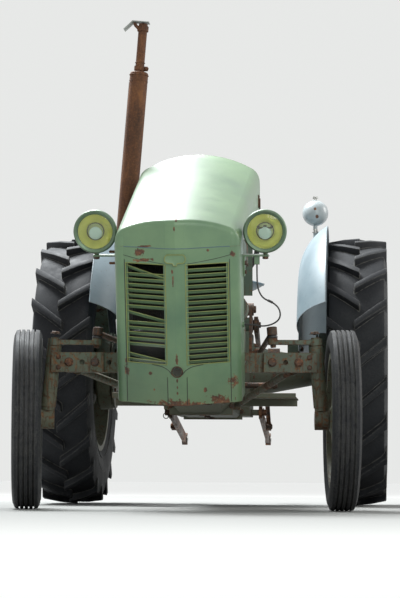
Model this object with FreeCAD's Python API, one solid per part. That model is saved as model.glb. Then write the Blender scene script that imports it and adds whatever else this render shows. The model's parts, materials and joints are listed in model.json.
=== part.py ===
"""Small grey farm tractor with its bonnet tipped forward, in millimetres.

+Z is up, the tractor faces -Y and its left side is +X.  The origin lies on the floor under the
middle of the whole tractor.  Sides are written as side = +1 for the left and -1 for the right.
"""
import FreeCAD, Part
import math
import os

os.makedirs("parts", exist_ok=True)

V = FreeCAD.Vector
ALONG_X = V(1, 0, 0)
ALONG_Y = V(0, 1, 0)
ALONG_Z = V(0, 0, 1)
SIDES = (("left", 1), ("right", -1))

# running gaps
pin_gap = 0.3            # between a pin and its bore, and at a seat that moves
running_gap = 5.0        # between pieces that move past each other

# wheels
wheelbase = 1778.0
front_track = 1219.0
rear_track = 1321.0
front_rim_radius = 241.0     # bead seat
front_tyre_height = 107.0    # bead seat to tread
front_tyre_radius = front_rim_radius + front_tyre_height
front_tyre_width = 112.0
front_rim_width = 80.0
front_tyre_sides = 26
rib_depth = 9.0
rear_rim_radius = 356.0
rear_tyre_height = 266.5     # out to the tips of the lugs
rear_tyre_radius = rear_rim_radius + rear_tyre_height
rear_tyre_width = 275.0
rear_rim_width = 228.0
rear_tyre_sides = 28
lug_count = 20                # on each side of a rear tyre
lug_height = 38.0
lug_slope = 0.8               # how far a lug runs back for each unit outward
lug_sections = (              # x, drop of the tip, half its width, drop of the base, half its width
    (-12.0, 0.0, 16.0, 60.0, 22.0),
    (134.0, 18.0, 22.0, 100.0, 30.0),
)
rim_flange = 20.0            # height of a rim's edge over its bead seat
rim_wall = 5.0

# front axle
beam_height = 76.0
beam_depth = 44.0
beam_z = front_tyre_radius + 220
kingpin_x = front_track / 2 - 95.5    # at the height of the beam
beam_half = kingpin_x - 54
hole_pitch = 50.8
hole_radius = 9.5
arm_depth = 18.0             # an axle arm's plate in front of the beam
arm_start_x = kingpin_x - 204
kingpin_lean = 5.0           # degrees, foot outward
kingpin_radius = 16.0
kingpin_tube_radius = 28.0
kingpin_tube_top = beam_z + 64
kingpin_tube_foot = front_tyre_radius + 48
knuckle_radius = 38.0
spindle_radius = 20.0
steering_arm = 174.0         # kingpin to ball joint
ball_x = kingpin_x - steering_arm
ball_z = beam_z + 116
rest_steer = {1: 4.5, -1: 8.0}        # degrees that each wheel stands turned to the left
stud_radius = 9.0
socket_radius = 20.0
socket_height = 34.0

# steering gear
drop_shaft_y = 960.0         # behind the front axle
drop_shaft_z = 850.0
drop_length = 190.0
drop_ratio = 0.85            # drop arm's turn for each degree of steering
collar_radius = 28.0
drop_arm_x = 200.0           # inner face of a drop arm
drop_arm_wall = 12.0
drop_pin_length = 9.6         # beyond the arm, short of the drag link for the whole lock
drop_shaft_radius = 16.0
steering_wheel_radius = 228.0
steering_wheel_y = 1270.0    # behind the front axle
steering_wheel_z = 1160.0
column_lean = 43.0           # degrees from level
steering_rim_radius = 12.0

# bonnet, measured closed and then tipped forward
bonnet_tip = 13.5            # degrees
hinge_y = -240.0             # behind the front axle
hinge_z = 450.0
hinge_pin_radius = 10.0
hinge_ear_x = 70.0
sheet = 3.0
nose_half = 233.0            # half the width at the nose
hood_rear_half = 254.0
nose_foot_z = 402.0
seam_z = 1000.0              # between the nose and the bonnet top
brow_z = 1106.0
hood_rear_z = 1240.0
nose_apex_y = -332.0         # at the seam, behind the front axle
nose_rake = 40.0             # how far the foot of the nose lies behind the seam
nose_rear_y = -70.0
hood_rear_y = 880.0
crown_radius = 450.0
brow_radius = 22.0            # of the edge between the nose's face and the bonnet's crown
shoulder_radius = 65.0
pillar_half = 36.0
pillar_drop = 6.0            # how far the pillar's edges lie behind the apex
louvre_outer_x = 193.0
vee_slope = 0.44             # how far the nose falls back for each unit of width
corner_start_x = 200.0
louvre_foot_z = 560.0
louvre_top_z = 938.0
slat_pitch = 20.5
slat_wall = 2.0
slat_depth = 15.0
strip_depth = 14.0
missing_slats = (2, 8)         # rows of the right bank from its foot
bent_slats = {                 # row: how far its inner and outer ends have risen
    0: (-3.0, 1.0),
    1: (-22.0, 3.0),
    9: (-30.0, 0.0),
    17: (-34.0, 10.0),
}
crank_hole_z = 533.0
crank_hole_radius = 17.0

# headlamps, measured closed
lamp_x = 322.0
lamp_y = -109.0
lamp_z = 1037.0
lamp_radius = 82.0
lamp_depth = 105.0
lamp_lip = 4.0

# loose lead of the left headlamp: x, distance behind the front axle, height
lead_diameter = 6.0
connector_height = 35.0
lead_route = (
    (290.0, -194.0, 932.0),
    (290.0, -194.0, 880.0),
    (294.0, -196.0, 836.0),
    (314.0, -199.0, 801.0),
    (350.0, -202.0, 788.0),
    (378.0, -203.0, 762.0),
    (380.0, -201.0, 726.0),
    (352.0, -197.0, 704.0),
    (312.0, -193.0, 696.0),
    (272.0, -190.0, 704.0),
    (243.0, -190.0, 704.0),
)

# power unit, y is behind the front axle
engine_front_y = 55.0
engine_rear_y = 600.0
block_half = 120.0
block_foot_z = 560.0
block_top_z = 850.0
head_top_z = 930.0
rocker_top_z = 985.0
sump_foot_z = 430.0
fan_z = 890.0
fan_reach = 130.0
cylinder_pitch = 112.0
belt_y = 33.0                 # behind the front axle
belt_width = 13.0
crank_z = 706.0
front_cover_foot_z = 634.0
dynamo_z = 792.0
pulley_pocket = 98.0
inlet_z = 852.0
carburettor_y = 250.0         # behind the engine's front
cleaner_foot_z = 640.0
radiator_front_y = -130.0
radiator_rear_y = -55.0
radiator_half = 195.0
radiator_foot_z = 662.0
radiator_top_z = 1050.0
hose_top_x = 84.0
hose_foot_x = 104.0
hose_radius = 15.0
hose_top_z = 1015.0
hose_foot_z = 690.0
tank_front_y = 170.0
tank_rear_y = 730.0
tank_half = 205.0
tank_foot_z = 1000.0
tank_top_z = 1120.0
dash_y = 905.0
dash_wall = 4.0
dash_half = 215.0
dash_top_z = 1195.0
dash_leg_x = 106.0
gauges = (                    # x, height, radius
    (0.0, 1110.0, 46.0),
    (-112.0, 1084.0, 27.0),
    (112.0, 1084.0, 27.0),
)
clutch_rear_y = 860.0
gearbox_rear_y = 1600.0
gearbox_half = 125.0
gearbox_foot_z = 400.0
gearbox_top_z = 820.0
flange_wall = 14.0
pedal_y = 1150.0              # behind the front axle
pedal_z = 530.0
lever_y = 1320.0
lift_lever_x = 244.0

# rear axle
centre_half = 168.0
centre_front_y = -178.0      # behind the rear axle
centre_rear_y = 150.0
centre_top_z = 800.0
centre_foot_z = 410.0
top_link_z = 690.0
top_link_half = 23.0          # half the gap between the bracket's cheeks
top_link_radius = 9.7
trumpet_radius = 62.0
trumpet_end_x = 470.0
drum_radius = 180.0
drum_start_x = 482.0
drum_depth = 68.0
hub_face_x = 575.0
shaft_radius = 30.0
shaft_reach = 50.0           # how far a rear hub's shaft runs into its trumpet
rear_disc_wall = 8.0

pto_z = 520.0
pto_radius = 17.5
pto_length = 75.0

# exhaust stack
stack_y = 750.0              # behind the front axle
stack_lean = 4.3             # degrees, top towards the tractor's middle
silencer_radius = 39.0
silencer_foot_z = 1120.0
tailpipe_length = 208.0
stack_pipe_radius = 19.0
stack_top_z = 2058.0
silencer_top_z = stack_top_z - tailpipe_length
stack_x = 309.0              # at stack_gauge_z
stack_gauge_z = 1266.0

cap_hinge_out = 36.0         # from the middle of the pipe
cap_half = 16.0              # half the width over the clamp's ears
cap_ear = 4.0

# fenders
fender_inner_x = 396.0
fender_outer_x = 522.0
fender_radius = 680.0
fender_root_radius = 385.0
fender_front_angle = 66.0    # degrees forward of the top
fender_rear_angle = 78.0
fender_foot_z = 700.0

# seat
seat_y = -70.0               # behind the rear axle
seat_z = 958.0               # lowest point of the pan

# three-point lift
lift_shaft_z = 840.0
lift_cover_top = 880.0
lift_arm_length = 290.0
lift_arm_rest = 20.0         # degrees below level
lift_arm_x = 178.0           # inner face
lift_arm_wall = 18.0
link_pivot_z = 430.0
link_length = 790.0
link_rest = 8.0              # degrees below level
link_x = 202.0               # inner face
link_wall = 16.0
link_eye_radius = 11.1
link_rod_at = 400.0          # where the lift rod meets the lower link

# places along the tractor
hinge_to_brow = (nose_apex_y - hinge_y, brow_z - hinge_z)
tip = math.radians(bonnet_tip)
brow_tipped_y = hinge_y + hinge_to_brow[0] * math.cos(tip) - hinge_to_brow[1] * math.sin(tip)
link_reach = link_length * math.cos(math.radians(link_rest)) + 30
front_y = -(brow_tipped_y + wheelbase + link_reach) / 2
rear_y = front_y + wheelbase
lean = math.radians(kingpin_lean)


def block(x, y, z):
    """A box between pairs of low and high values."""
    return Part.makeBox(x[1] - x[0], y[1] - y[0], z[1] - z[0], V(x[0], y[0], z[0]))


def rod(start, end, radius):
    return Part.makeCylinder(radius, (end - start).Length, start, end - start)


def tube(start, end, outer, inner):
    return rod(start, end, outer).cut(rod(start, end, inner))


def at_x(x):
    return lambda u, v: V(x, u, v)


def at_y(y):
    return lambda u, v: V(u, y, v)


def at_z(z):
    return lambda u, v: V(u, v, z)


def face(plane, start, *steps):
    """A face whose outline runs in lines to (u, v), or in arcs through (u, v, u_mid, v_mid)."""
    edges = []
    here = plane(*start)
    for step in steps + (start,):
        there = plane(step[0], step[1])
        if len(step) == 4:
            edges.append(Part.Arc(here, plane(step[2], step[3]), there).toShape())
        elif (there - here).Length > 1e-6:
            edges.append(Part.LineSegment(here, there).toShape())
        here = there
    return Part.Face(Part.Wire(edges))


def prism(plane, push, start, *steps):
    return face(plane, start, *steps).extrude(push)


def turned_x(start, *steps):
    """A ring or disc about the X axis, from an outline of (x, radius)."""
    return face(at_y(0), start, *steps).revolve(V(0, 0, 0), ALONG_X, 360)


def moved(shape, place):
    copy = shape.copy()
    copy.translate(place)
    return copy


def flipped(shape):
    """The same piece for the other side."""
    return shape.mirror(V(0, 0, 0), ALONG_X)


def fused(shapes):
    return shapes[0].multiFuse(shapes[1:]).removeSplitter()


def bent(points, radius, bend):
    """A round bar along straight runs joined by arcs of one radius."""
    edges = []
    here = points[0]
    for before, corner, after in zip(points, points[1:], points[2:]):
        back = (before - corner).normalize()
        on = (after - corner).normalize()
        turn = math.pi - back.getAngle(on)
        reach = bend * math.tan(turn / 2)
        middle = (back + on).normalize()
        arc_start = corner + back * reach
        arc_end = corner + on * reach
        arc_middle = corner + middle * (bend / math.cos(turn / 2) - bend)
        edges.append(Part.LineSegment(here, arc_start).toShape())
        edges.append(Part.Arc(arc_start, arc_middle, arc_end).toShape())
        here = arc_end
    edges.append(Part.LineSegment(here, points[-1]).toShape())
    ring = Part.Wire(Part.makeCircle(radius, points[0], points[1] - points[0]))
    return Part.Wire(edges).makePipeShell([ring], True, False)


def save(name, shape):
    for solid in shape.Solids:
        if not solid.isValid() or solid.Volume < 1:
            raise ValueError("%s is not a sound solid" % name)
    if not shape.Solids:
        raise ValueError("%s is empty" % name)
    shape.exportStep("parts/%s.step" % name)


def flat(*points):
    return Part.Face(Part.makePolygon(list(points) + [points[0]]))


def closed(faces):
    """The solid inside a closed set of faces."""
    solid = Part.makeSolid(Part.makeShell(faces))
    if solid.Volume < 0:
        solid.reverse()
    return solid


def flat_ring(half_outline, sectors):
    """A ring about X with flat sides, from one side's outline of (x, radius)."""
    outline = half_outline + [(-x, radius) for x, radius in reversed(half_outline)]
    rings = []
    for sector in range(sectors):
        angle = 2 * math.pi * sector / sectors
        rings.append([V(x, -radius * math.sin(angle), radius * math.cos(angle)) for x, radius in outline])
    faces = []
    for here, ahead in zip(rings, rings[1:] + rings[:1]):
        for one in range(len(outline)):
            two = (one + 1) % len(outline)
            faces.append(flat(here[one], here[two], ahead[two], ahead[one]))
    return closed(faces)


def kingpin_at(z, side):
    """The point of the leaning kingpin at a height."""
    return V(side * (kingpin_x + (beam_z - z) * math.tan(lean)), front_y, z)


def kingpin_axis(side):
    return (kingpin_at(kingpin_tube_top, side) - kingpin_at(front_tyre_radius, side)).normalize()


def steered(shape, side):
    """Turn a piece of a front wheel about its kingpin, as the wheel stands."""
    copy = shape.copy()
    copy.rotate(kingpin_at(beam_z, side), kingpin_axis(side), rest_steer[side])
    return copy


def steered_point(point, side):
    turn = FreeCAD.Rotation(kingpin_axis(side), rest_steer[side])
    root = kingpin_at(beam_z, side)
    return root + turn.multVec(point - root)


def ball_at(side):
    return steered_point(V(side * ball_x, front_y, ball_z), side)


def drop_turn(side):
    """Degrees about X that a drop arm has swung from upright."""
    return -side * drop_ratio * rest_steer[side]


def drop_pin_at(side, x):
    swing = math.radians(drop_turn(side))
    return V(x, front_y + drop_shaft_y + drop_length * math.sin(swing),
             drop_shaft_z - drop_length * math.cos(swing))


def rim(seat, width, disc):
    """A well-less rim with upturned edges, and its disc as an outline of (x, radius)."""
    half = width / 2
    edge = seat + rim_flange
    ring = turned_x((-half, seat), (half, seat), (half, edge), (half + rim_wall, edge),
                    (half + rim_wall, seat - rim_wall), (-half - rim_wall, seat - rim_wall),
                    (-half - rim_wall, edge), (-half, edge))
    return fused([ring, turned_x(*disc)])


def front_tyre():
    """Tyre with straight ribs round its tread, in flat sides."""
    half = front_tyre_width / 2
    bead = front_rim_width / 2 - pin_gap
    over_rim = 1 / math.cos(math.pi / front_tyre_sides)
    seat = (front_rim_radius + pin_gap) * over_rim
    edge = (front_rim_radius + rim_flange + pin_gap) * over_rim
    tread = front_tyre_radius
    outline = [(bead, seat), (bead, edge), (half, (edge + tread) / 2), (half - 12, tread - 5)]
    for groove in (27.0, 9.0):
        outline += [(groove + 4, tread), (groove, tread - rib_depth), (groove - 4, tread)]
    return flat_ring(outline, front_tyre_sides)


def tyre_lug(side):
    """One bar of the rear tread, from the middle out over the shoulder."""
    rings = []
    for x, tip, half_tip, base, half_base in lug_sections:
        y = lug_slope * x
        tip_z = math.sqrt((rear_tyre_radius - tip) ** 2 - (abs(y) + half_tip) ** 2)
        base_z = rear_tyre_radius - base
        rings.append([V(side * x, y - half_base, base_z), V(side * x, y - half_tip, tip_z),
                      V(side * x, y + half_tip, tip_z), V(side * x, y + half_base, base_z)])
    inner, outer = rings
    faces = [flat(*inner), flat(*outer)]
    for one in range(4):
        two = (one + 1) % 4
        faces.append(flat(inner[one], inner[two], outer[two]))
        faces.append(flat(inner[one], outer[two], outer[one]))
    return closed(faces)


def rear_tyre():
    """Tyre with two rows of slanting lugs that point forward at the top, in flat sides."""
    half = rear_tyre_width / 2
    bead = rear_rim_width / 2 - pin_gap
    over_rim = 1 / math.cos(math.pi / rear_tyre_sides)
    seat = (rear_rim_radius + pin_gap) * over_rim
    edge = (rear_rim_radius + rim_flange + pin_gap) * over_rim
    tread = rear_tyre_radius - lug_height
    outline = [(bead, seat), (bead, edge), (half, (edge + tread) / 2), (half - 14, tread - 6)]
    pieces = [flat_ring(outline, rear_tyre_sides)]
    for step in range(lug_count):
        for side in (1, -1):
            lug = tyre_lug(side)
            turn = 360 / lug_count * (step + (0.5 if side < 0 else 0))
            lug.rotate(V(0, 0, 0), ALONG_X, turn)
            pieces.append(lug)
    return fused(pieces)


def front_wheel(name, side):
    place = V(side * front_track / 2, front_y, front_tyre_radius)
    inner = -36.0
    disc = ((inner, 43), (inner, 90), (-14, 150), (-14, 205), (-30, front_rim_radius - rim_wall / 2),
            (-24, front_rim_radius - rim_wall / 2), (-8, 208), (-8, 146), (inner + 6, 86), (inner + 6, 43))
    wheel = rim(front_rim_radius, front_rim_width, disc)
    hub_start = kingpin_at(front_tyre_radius, 1).x + 28 - front_track / 2
    hub = turned_x((hub_start, spindle_radius + pin_gap), (hub_start, 40), (inner - 8, 48),
                   (inner, 62), (inner, 43), (inner + 6, 43), (inner + 6, 38), (42, 30), (46, 22),
                   (46, 0), (38, 0), (38, spindle_radius + pin_gap))
    wheel = fused([wheel, hub])
    tyre = front_tyre()
    if side < 0:
        wheel = flipped(wheel)
        tyre = flipped(tyre)
    save("front_rim_" + name, steered(moved(wheel, place), side))
    save("front_tyre_" + name, steered(moved(tyre, place), side))


def rear_wheel(name, side):
    place = V(side * rear_track / 2, rear_y, rear_tyre_radius)
    inner = hub_face_x - rear_track / 2
    wall = rear_disc_wall
    seat = rear_rim_radius - rim_wall
    disc = ((inner, 0), (inner, 150), (inner + 40, 235), (inner + 40, seat - 20), (inner + 40, seat + 1),
            (inner + 40 + wall, seat + 1), (inner + 40 + wall, 231), (inner + wall, 146), (inner + wall, 0))
    wheel = rim(rear_rim_radius, rear_rim_width, disc)
    start = drum_start_x
    end = start + drum_depth
    hub = turned_x((start - shaft_reach, 0), (start - shaft_reach, shaft_radius), (start, shaft_radius),
                   (start, drum_radius), (end - 10, drum_radius), (end, drum_radius - 10), (end, 70),
                   (hub_face_x - 16, 62), (hub_face_x - 16, 108), (hub_face_x - pin_gap, 108),
                   (hub_face_x - pin_gap, 0))
    tyre = rear_tyre()
    if side < 0:
        wheel = flipped(wheel)
        hub = flipped(hub)
        tyre = flipped(tyre)
    save("rear_rim_" + name, moved(wheel, place))
    save("rear_hub_" + name, moved(hub, V(0, rear_y, rear_tyre_radius)))
    save("rear_tyre_" + name, moved(tyre, place))


def axle_beam():
    """Centre beam with a row of holes for setting the track."""
    low = beam_z - beam_height / 2
    high = beam_z + beam_height / 2
    half = beam_depth / 2
    wall = 9.0
    solid = prism(at_x(-beam_half), V(2 * beam_half, 0, 0), (front_y - half, low),
                  (front_y + half, low), (front_y + half, low + wall), (front_y - half + wall, low + wall),
                  (front_y - half + wall, high - wall), (front_y + half, high - wall),
                  (front_y + half, high), (front_y - half, high))
    boss = rod(V(0, front_y - half, beam_z), V(0, front_y + half, beam_z), 40)
    solid = fused([solid, boss])
    for side in (1, -1):
        for step in range(3):
            x = side * (arm_start_x - 70 + step * hole_pitch)
            if abs(x) < arm_start_x:
                solid = solid.cut(rod(V(x, front_y - half - 1, beam_z), V(x, front_y, beam_z), hole_radius))
    solid = solid.cut(rod(V(0, front_y - half - 1, beam_z), V(0, front_y + half + 1, beam_z), 18 + pin_gap))
    save("axle_beam", solid)


def axle_arm(side):
    """Outer arm bolted on the front of the beam, with the tube that carries the kingpin."""
    low = beam_z - beam_height / 2
    high = beam_z + beam_height / 2
    front = front_y - beam_depth / 2 - arm_depth
    back = front_y - beam_depth / 2
    start = side * arm_start_x
    end = side * kingpin_x
    plate = block((min(start, end), max(start, end)), (front, back), (low, high))
    web = block((min(side * (beam_half + 2), end), max(side * (beam_half + 2), end)), (front, front_y + 18),
                (low + 6, high - 6))
    top = kingpin_at(kingpin_tube_top, side)
    foot = kingpin_at(kingpin_tube_foot, side)
    solid = fused([plate, web, rod(foot, top, kingpin_tube_radius)])
    beyond = (top - foot).normalize() * 5
    solid = solid.cut(rod(foot - beyond, top + beyond, kingpin_radius + pin_gap))
    for step in range(2):
        x = side * (arm_start_x + 84 + step * hole_pitch)
        solid = solid.cut(rod(V(x, front - 1, beam_z), V(x, back, beam_z), hole_radius))
    return solid


def stub_axle(name, side):
    """Kingpin, knuckle and spindle, with the steering arm that reaches inward to its ball."""
    wheel_z = front_tyre_radius
    axis = kingpin_axis(side)
    base = kingpin_at(wheel_z, side)
    pin_top = kingpin_at(kingpin_tube_top + 34, side)
    pin = rod(base, pin_top, kingpin_radius)
    collar = rod(base + axis * (knuckle_radius - 4), kingpin_at(kingpin_tube_foot, side) - axis * pin_gap, 25)
    inner = base.x - side * 28
    outer = base.x + side * 24
    knuckle = rod(V(inner, front_y, wheel_z), V(outer, front_y, wheel_z), knuckle_radius)
    tip = V(side * (front_track / 2 + 34), front_y, wheel_z)
    spindle = rod(V(outer, front_y, wheel_z), tip, spindle_radius)
    arm_low = kingpin_at(kingpin_tube_top, side) + axis * 2
    boss = rod(arm_low, arm_low + axis * 26, 27)
    ball = V(side * ball_x, front_y, ball_z)
    arm_z = arm_low.z + 4
    lever = prism(at_z(arm_z), V(0, 0, 18), (arm_low.x, front_y - 22), (arm_low.x, front_y + 22),
                  (ball.x, front_y + 15), (ball.x, front_y - 15))
    seat = rod(ball - axis * 46, ball - axis * 22, 19)
    stud = rod(ball - axis * 40, ball + axis * 8, stud_radius)
    save("stub_axle_" + name, steered(fused([pin, collar, knuckle, spindle, boss, lever, seat, stud]), side))


def drag_link(name, side):
    """Rod from the steering arm's ball back to the drop arm."""
    axis = kingpin_axis(side)
    ball = ball_at(side)
    cup_low = ball - axis * (socket_height / 2 - 8)
    front_cup = rod(cup_low, ball + axis * (socket_height / 2 + 4), socket_radius)
    inner_face = drop_arm_x + drop_arm_wall + 12
    rear = drop_pin_at(side, side * (inner_face + socket_radius))
    rear_cup = rod(V(side * (inner_face + pin_gap), rear.y, rear.z),
                   V(side * (inner_face + 2 * socket_radius - 6), rear.y, rear.z), socket_radius)
    link = fused([rod(ball, rear, 11), front_cup, rear_cup])
    link = link.cut(rod(ball - axis * socket_height, ball + axis * 8.5, stud_radius + pin_gap))
    save("drag_link_" + name, link)


def drop_arm(name, side):
    """Flat arm on the steering cross shaft, with the pin that works the drag link."""
    y = front_y + drop_shaft_y
    low = drop_shaft_z - drop_length
    x = side * drop_arm_x
    push = V(side * drop_arm_wall, 0, 0)
    plate = prism(at_x(x), push, (y - 27, drop_shaft_z), (y - 17, low), (y + 17, low, y, low - 17),
                  (y + 27, drop_shaft_z), (y - 27, drop_shaft_z, y, drop_shaft_z + 27))
    boss = rod(V(x - side * 10, y, drop_shaft_z), V(x + side * (drop_arm_wall + 6), y, drop_shaft_z), 27)
    pin = rod(V(x, y, low), V(side * (drop_arm_x + drop_arm_wall + drop_pin_length), y, low), 10)
    bore = rod(V(x - side * 12, y, drop_shaft_z), V(x + side * (drop_arm_wall + 8), y, drop_shaft_z),
               drop_shaft_radius + pin_gap)
    arm = fused([plate, boss, pin]).cut(bore)
    arm.rotate(V(0, y, drop_shaft_z), ALONG_X, drop_turn(side))
    save("drop_arm_" + name, arm)


def column_points():
    """Centre of the steering wheel and the direction up the column."""
    slope = math.radians(column_lean)
    up = V(0, math.cos(slope), math.sin(slope))
    return V(0, front_y + steering_wheel_y, steering_wheel_z), up


def steering_box():
    """Box on the clutch housing with its cross shaft and the column's tube."""
    y = front_y + drop_shaft_y
    casing = block((-95, 95), (y - 45, y + 95), (gearbox_top_z, drop_shaft_z + 50))
    wheel, up = column_points()
    foot = wheel - up * ((wheel.z - drop_shaft_z - 20) / up.z)
    column = rod(foot, wheel - up * 34, 24)
    hub_end = rod(foot, wheel - up * 12, 11)
    cross = rod(V(-(drop_arm_x + drop_arm_wall + 4), y, drop_shaft_z),
                V(drop_arm_x + drop_arm_wall + 4, y, drop_shaft_z), drop_shaft_radius)
    collars = rod(V(-(drop_arm_x - 12), y, drop_shaft_z), V(drop_arm_x - 12, y, drop_shaft_z), collar_radius)
    save("steering_box", fused([casing, column, hub_end, cross, collars]))


def steering_wheel():
    wheel, up = column_points()
    ring = Part.makeTorus(steering_wheel_radius - steering_rim_radius, steering_rim_radius, wheel, up)
    hub = rod(wheel - up * 30, wheel + up * 10, 32)
    pieces = [ring, hub]
    across = ALONG_X
    for spoke in range(3):
        turn = FreeCAD.Rotation(up, 90 + spoke * 120)
        reach = turn.multVec(across) * (steering_wheel_radius - steering_rim_radius)
        pieces.append(rod(wheel - up * 8, wheel + reach, 7))
    solid = fused(pieces)
    solid = solid.cut(rod(wheel - up * 40, wheel - up * 10, 11 + pin_gap))
    save("steering_wheel", solid)


def side_x(y):
    """Half the width of the nose and bonnet at a distance behind the front axle."""
    return nose_half + (hood_rear_half - nose_half) * (y - nose_apex_y) / (hood_rear_y - nose_apex_y)


def plan(offset):
    """Half outline of the nose and bonnet seen from above, as (x, y behind the front axle)."""
    apex = nose_apex_y + offset
    edge_y = apex + pillar_drop
    corner_y = edge_y + (corner_start_x - offset - pillar_half) * vee_slope
    return [(0, apex), (pillar_half, edge_y), (corner_start_x - offset, corner_y)]


def plan_face(z, offset, rear):
    """The outline of plan() as a face, closed at a straight rear edge."""
    depth = 46.0
    points = [(x, front_y + y) for x, y in plan(offset)]
    corner = points[-1]
    side = side_x(corner[1] + depth - front_y) - offset
    rear_side = side_x(rear) - offset
    bend = (side - 7, corner[1] + 14)
    start = (-rear_side, front_y + rear)
    return face(at_z(z), start, (-side, corner[1] + depth),
                (-corner[0], corner[1], -bend[0], bend[1]),
                (-points[1][0], points[1][1]), points[0], points[1], corner,
                (side, corner[1] + depth, bend[0], bend[1]), (rear_side, front_y + rear))


def nose_block(offset, low, high, rear):
    """The nose as a raked prism, its foot further back than its top."""
    rake = nose_rake * (seam_z - low) / (seam_z - nose_foot_z)
    drift = -nose_rake * (high - low) / (seam_z - nose_foot_z)
    outline = plan_face(low, offset, rear)
    outline.translate(V(0, rake, 0))
    return outline.extrude(V(0, drift, high - low))


def hood_section(y, half, top, offset, foot):
    """A cross-section of the bonnet: crowned top, round shoulders and upright sides."""
    half = half - offset
    top = top - offset
    crown = crown_radius - offset
    shoulder = shoulder_radius - offset
    across = half - shoulder
    centre_z = top - crown + math.sqrt((crown - shoulder) ** 2 - across ** 2)
    share = crown / (crown - shoulder)
    touch = (across * share, top - crown + (centre_z - top + crown) * share)
    middle = math.radians(45)
    bend = (across + shoulder * math.cos(middle / 1.6), centre_z + shoulder * math.sin(middle / 1.6))
    return face(at_y(front_y + y), (-half, foot), (-half, centre_z),
                (-touch[0], touch[1], -bend[0], bend[1]), (touch[0], touch[1], 0, top),
                (half, centre_z, bend[0], bend[1]), (half, foot))


def hood_block(offset, foot):
    """The bonnet's crowned body between its front and rear sections."""
    front = nose_apex_y - 40
    slope = (hood_rear_z - brow_z) / (hood_rear_y - nose_apex_y)
    rear = hood_rear_y + (20 if offset else 0)
    ends = []
    for y in (front, rear):
        ends.append(hood_section(y, side_x(y), brow_z + slope * (y - nose_apex_y), offset, foot).OuterWire)
    return Part.makeLoft(ends, True, True)


def tipped(shape):
    """Swing a closed bonnet piece forward about the hinge at the foot of the nose."""
    copy = shape.copy()
    copy.rotate(V(0, front_y + hinge_y, hinge_z), ALONG_X, bonnet_tip)
    return copy


def rounded_brow(shape, radius):
    """Round the edges where the bonnet's crown meets the face and corners of the nose."""
    rear = front_y + nose_apex_y + (corner_start_x - pillar_half) * vee_slope + 60
    edges = []
    for edge in shape.Edges:
        box = edge.BoundBox
        if box.YMax < rear and box.ZMin > seam_z + 5 and box.XLength > 5:
            edges.append(edge)
    return shape.makeFillet(radius, edges)


def bonnet_top():
    top = hood_rear_z + 60
    outer = hood_block(0, seam_z).common(plan_face(seam_z, 0, hood_rear_y).extrude(V(0, 0, top - seam_z)))
    inner = hood_block(sheet, seam_z - 10)
    inner = inner.common(plan_face(seam_z - 10, sheet, hood_rear_y + 20).extrude(V(0, 0, top - seam_z)))
    outer = rounded_brow(outer, brow_radius)
    inner = rounded_brow(inner, brow_radius - sheet)
    save("bonnet_top", tipped(outer.cut(inner)))


def louvre_window(side):
    """The opening for one bank of louvres, as a block through the nose's face."""
    inner = pillar_half
    x = (inner, louvre_outer_x) if side > 0 else (-louvre_outer_x, -inner)
    return block(x, (front_y + nose_apex_y - 20, front_y + nose_apex_y + 150), (louvre_foot_z, louvre_top_z))


def nose_shell():
    outer = nose_block(0, nose_foot_z, seam_z - pin_gap, nose_rear_y)
    inner = nose_block(sheet, nose_foot_z - 10, seam_z + 10, nose_rear_y + 60)
    shell = outer.cut(inner)
    for side in (1, -1):
        shell = shell.cut(louvre_window(side))
    hinge = V(0, front_y + hinge_y, hinge_z)
    pieces = [shell]
    for side in (1, -1):
        x = side * hinge_ear_x
        skin = front_y + nose_apex_y + nose_rake + 12 + (hinge_ear_x - pillar_half) * vee_slope - 10
        ear = prism(at_x(x - 4), V(8, 0, 0), (skin, hinge.z - 22), (hinge.y, hinge.z - 22),
                    (hinge.y, hinge.z + 22, hinge.y + 22, hinge.z), (skin, hinge.z + 22))
        pieces.append(ear.common(nose_block(1, nose_foot_z, seam_z, nose_rear_y + 60)))
    shell = fused(pieces)
    reach = ALONG_X * (hinge_ear_x + 6)
    shell = shell.cut(rod(hinge - reach, hinge + reach, hinge_pin_radius + pin_gap))
    hole_y = front_y + nose_apex_y
    shell = shell.cut(rod(V(0, hole_y - 20, crank_hole_z), V(0, hole_y + 60, crank_hole_z), crank_hole_radius))
    end = lead_point(-1)
    gland = rod(end - ALONG_X * 10, end, lead_diameter * 1.7)
    save("nose_shell", fused([tipped(shell), gland]))


def lamp_mount(side):
    """Strap, side plate and post under a headlamp."""
    centre = V(side * lamp_x, front_y + lamp_y, lamp_z)
    strap_z = centre.z - lamp_radius - 16
    y = centre.y + 34
    x_in = side * (side_x(y + 16 - front_y) + pin_gap)
    strap = block(sorted((x_in, centre.x + side * 12)), (y - 16, y + 16), (strap_z, strap_z + 6))
    plate = block(sorted((x_in, x_in + side * 6)), (y - 16, y + 16), (strap_z - 76, strap_z + 6))
    post = rod(V(centre.x, y, strap_z), V(centre.x, y, centre.z - lamp_radius * 0.72), 9)
    return fused([strap, plate, post])


def nose_face_y(x, z):
    """Where the nose's outer face lies at a place on its width and height."""
    rake = nose_rake * (seam_z - z) / (seam_z - nose_foot_z)
    return front_y + nose_apex_y + rake + pillar_drop + (abs(x) - pillar_half) * vee_slope


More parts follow.
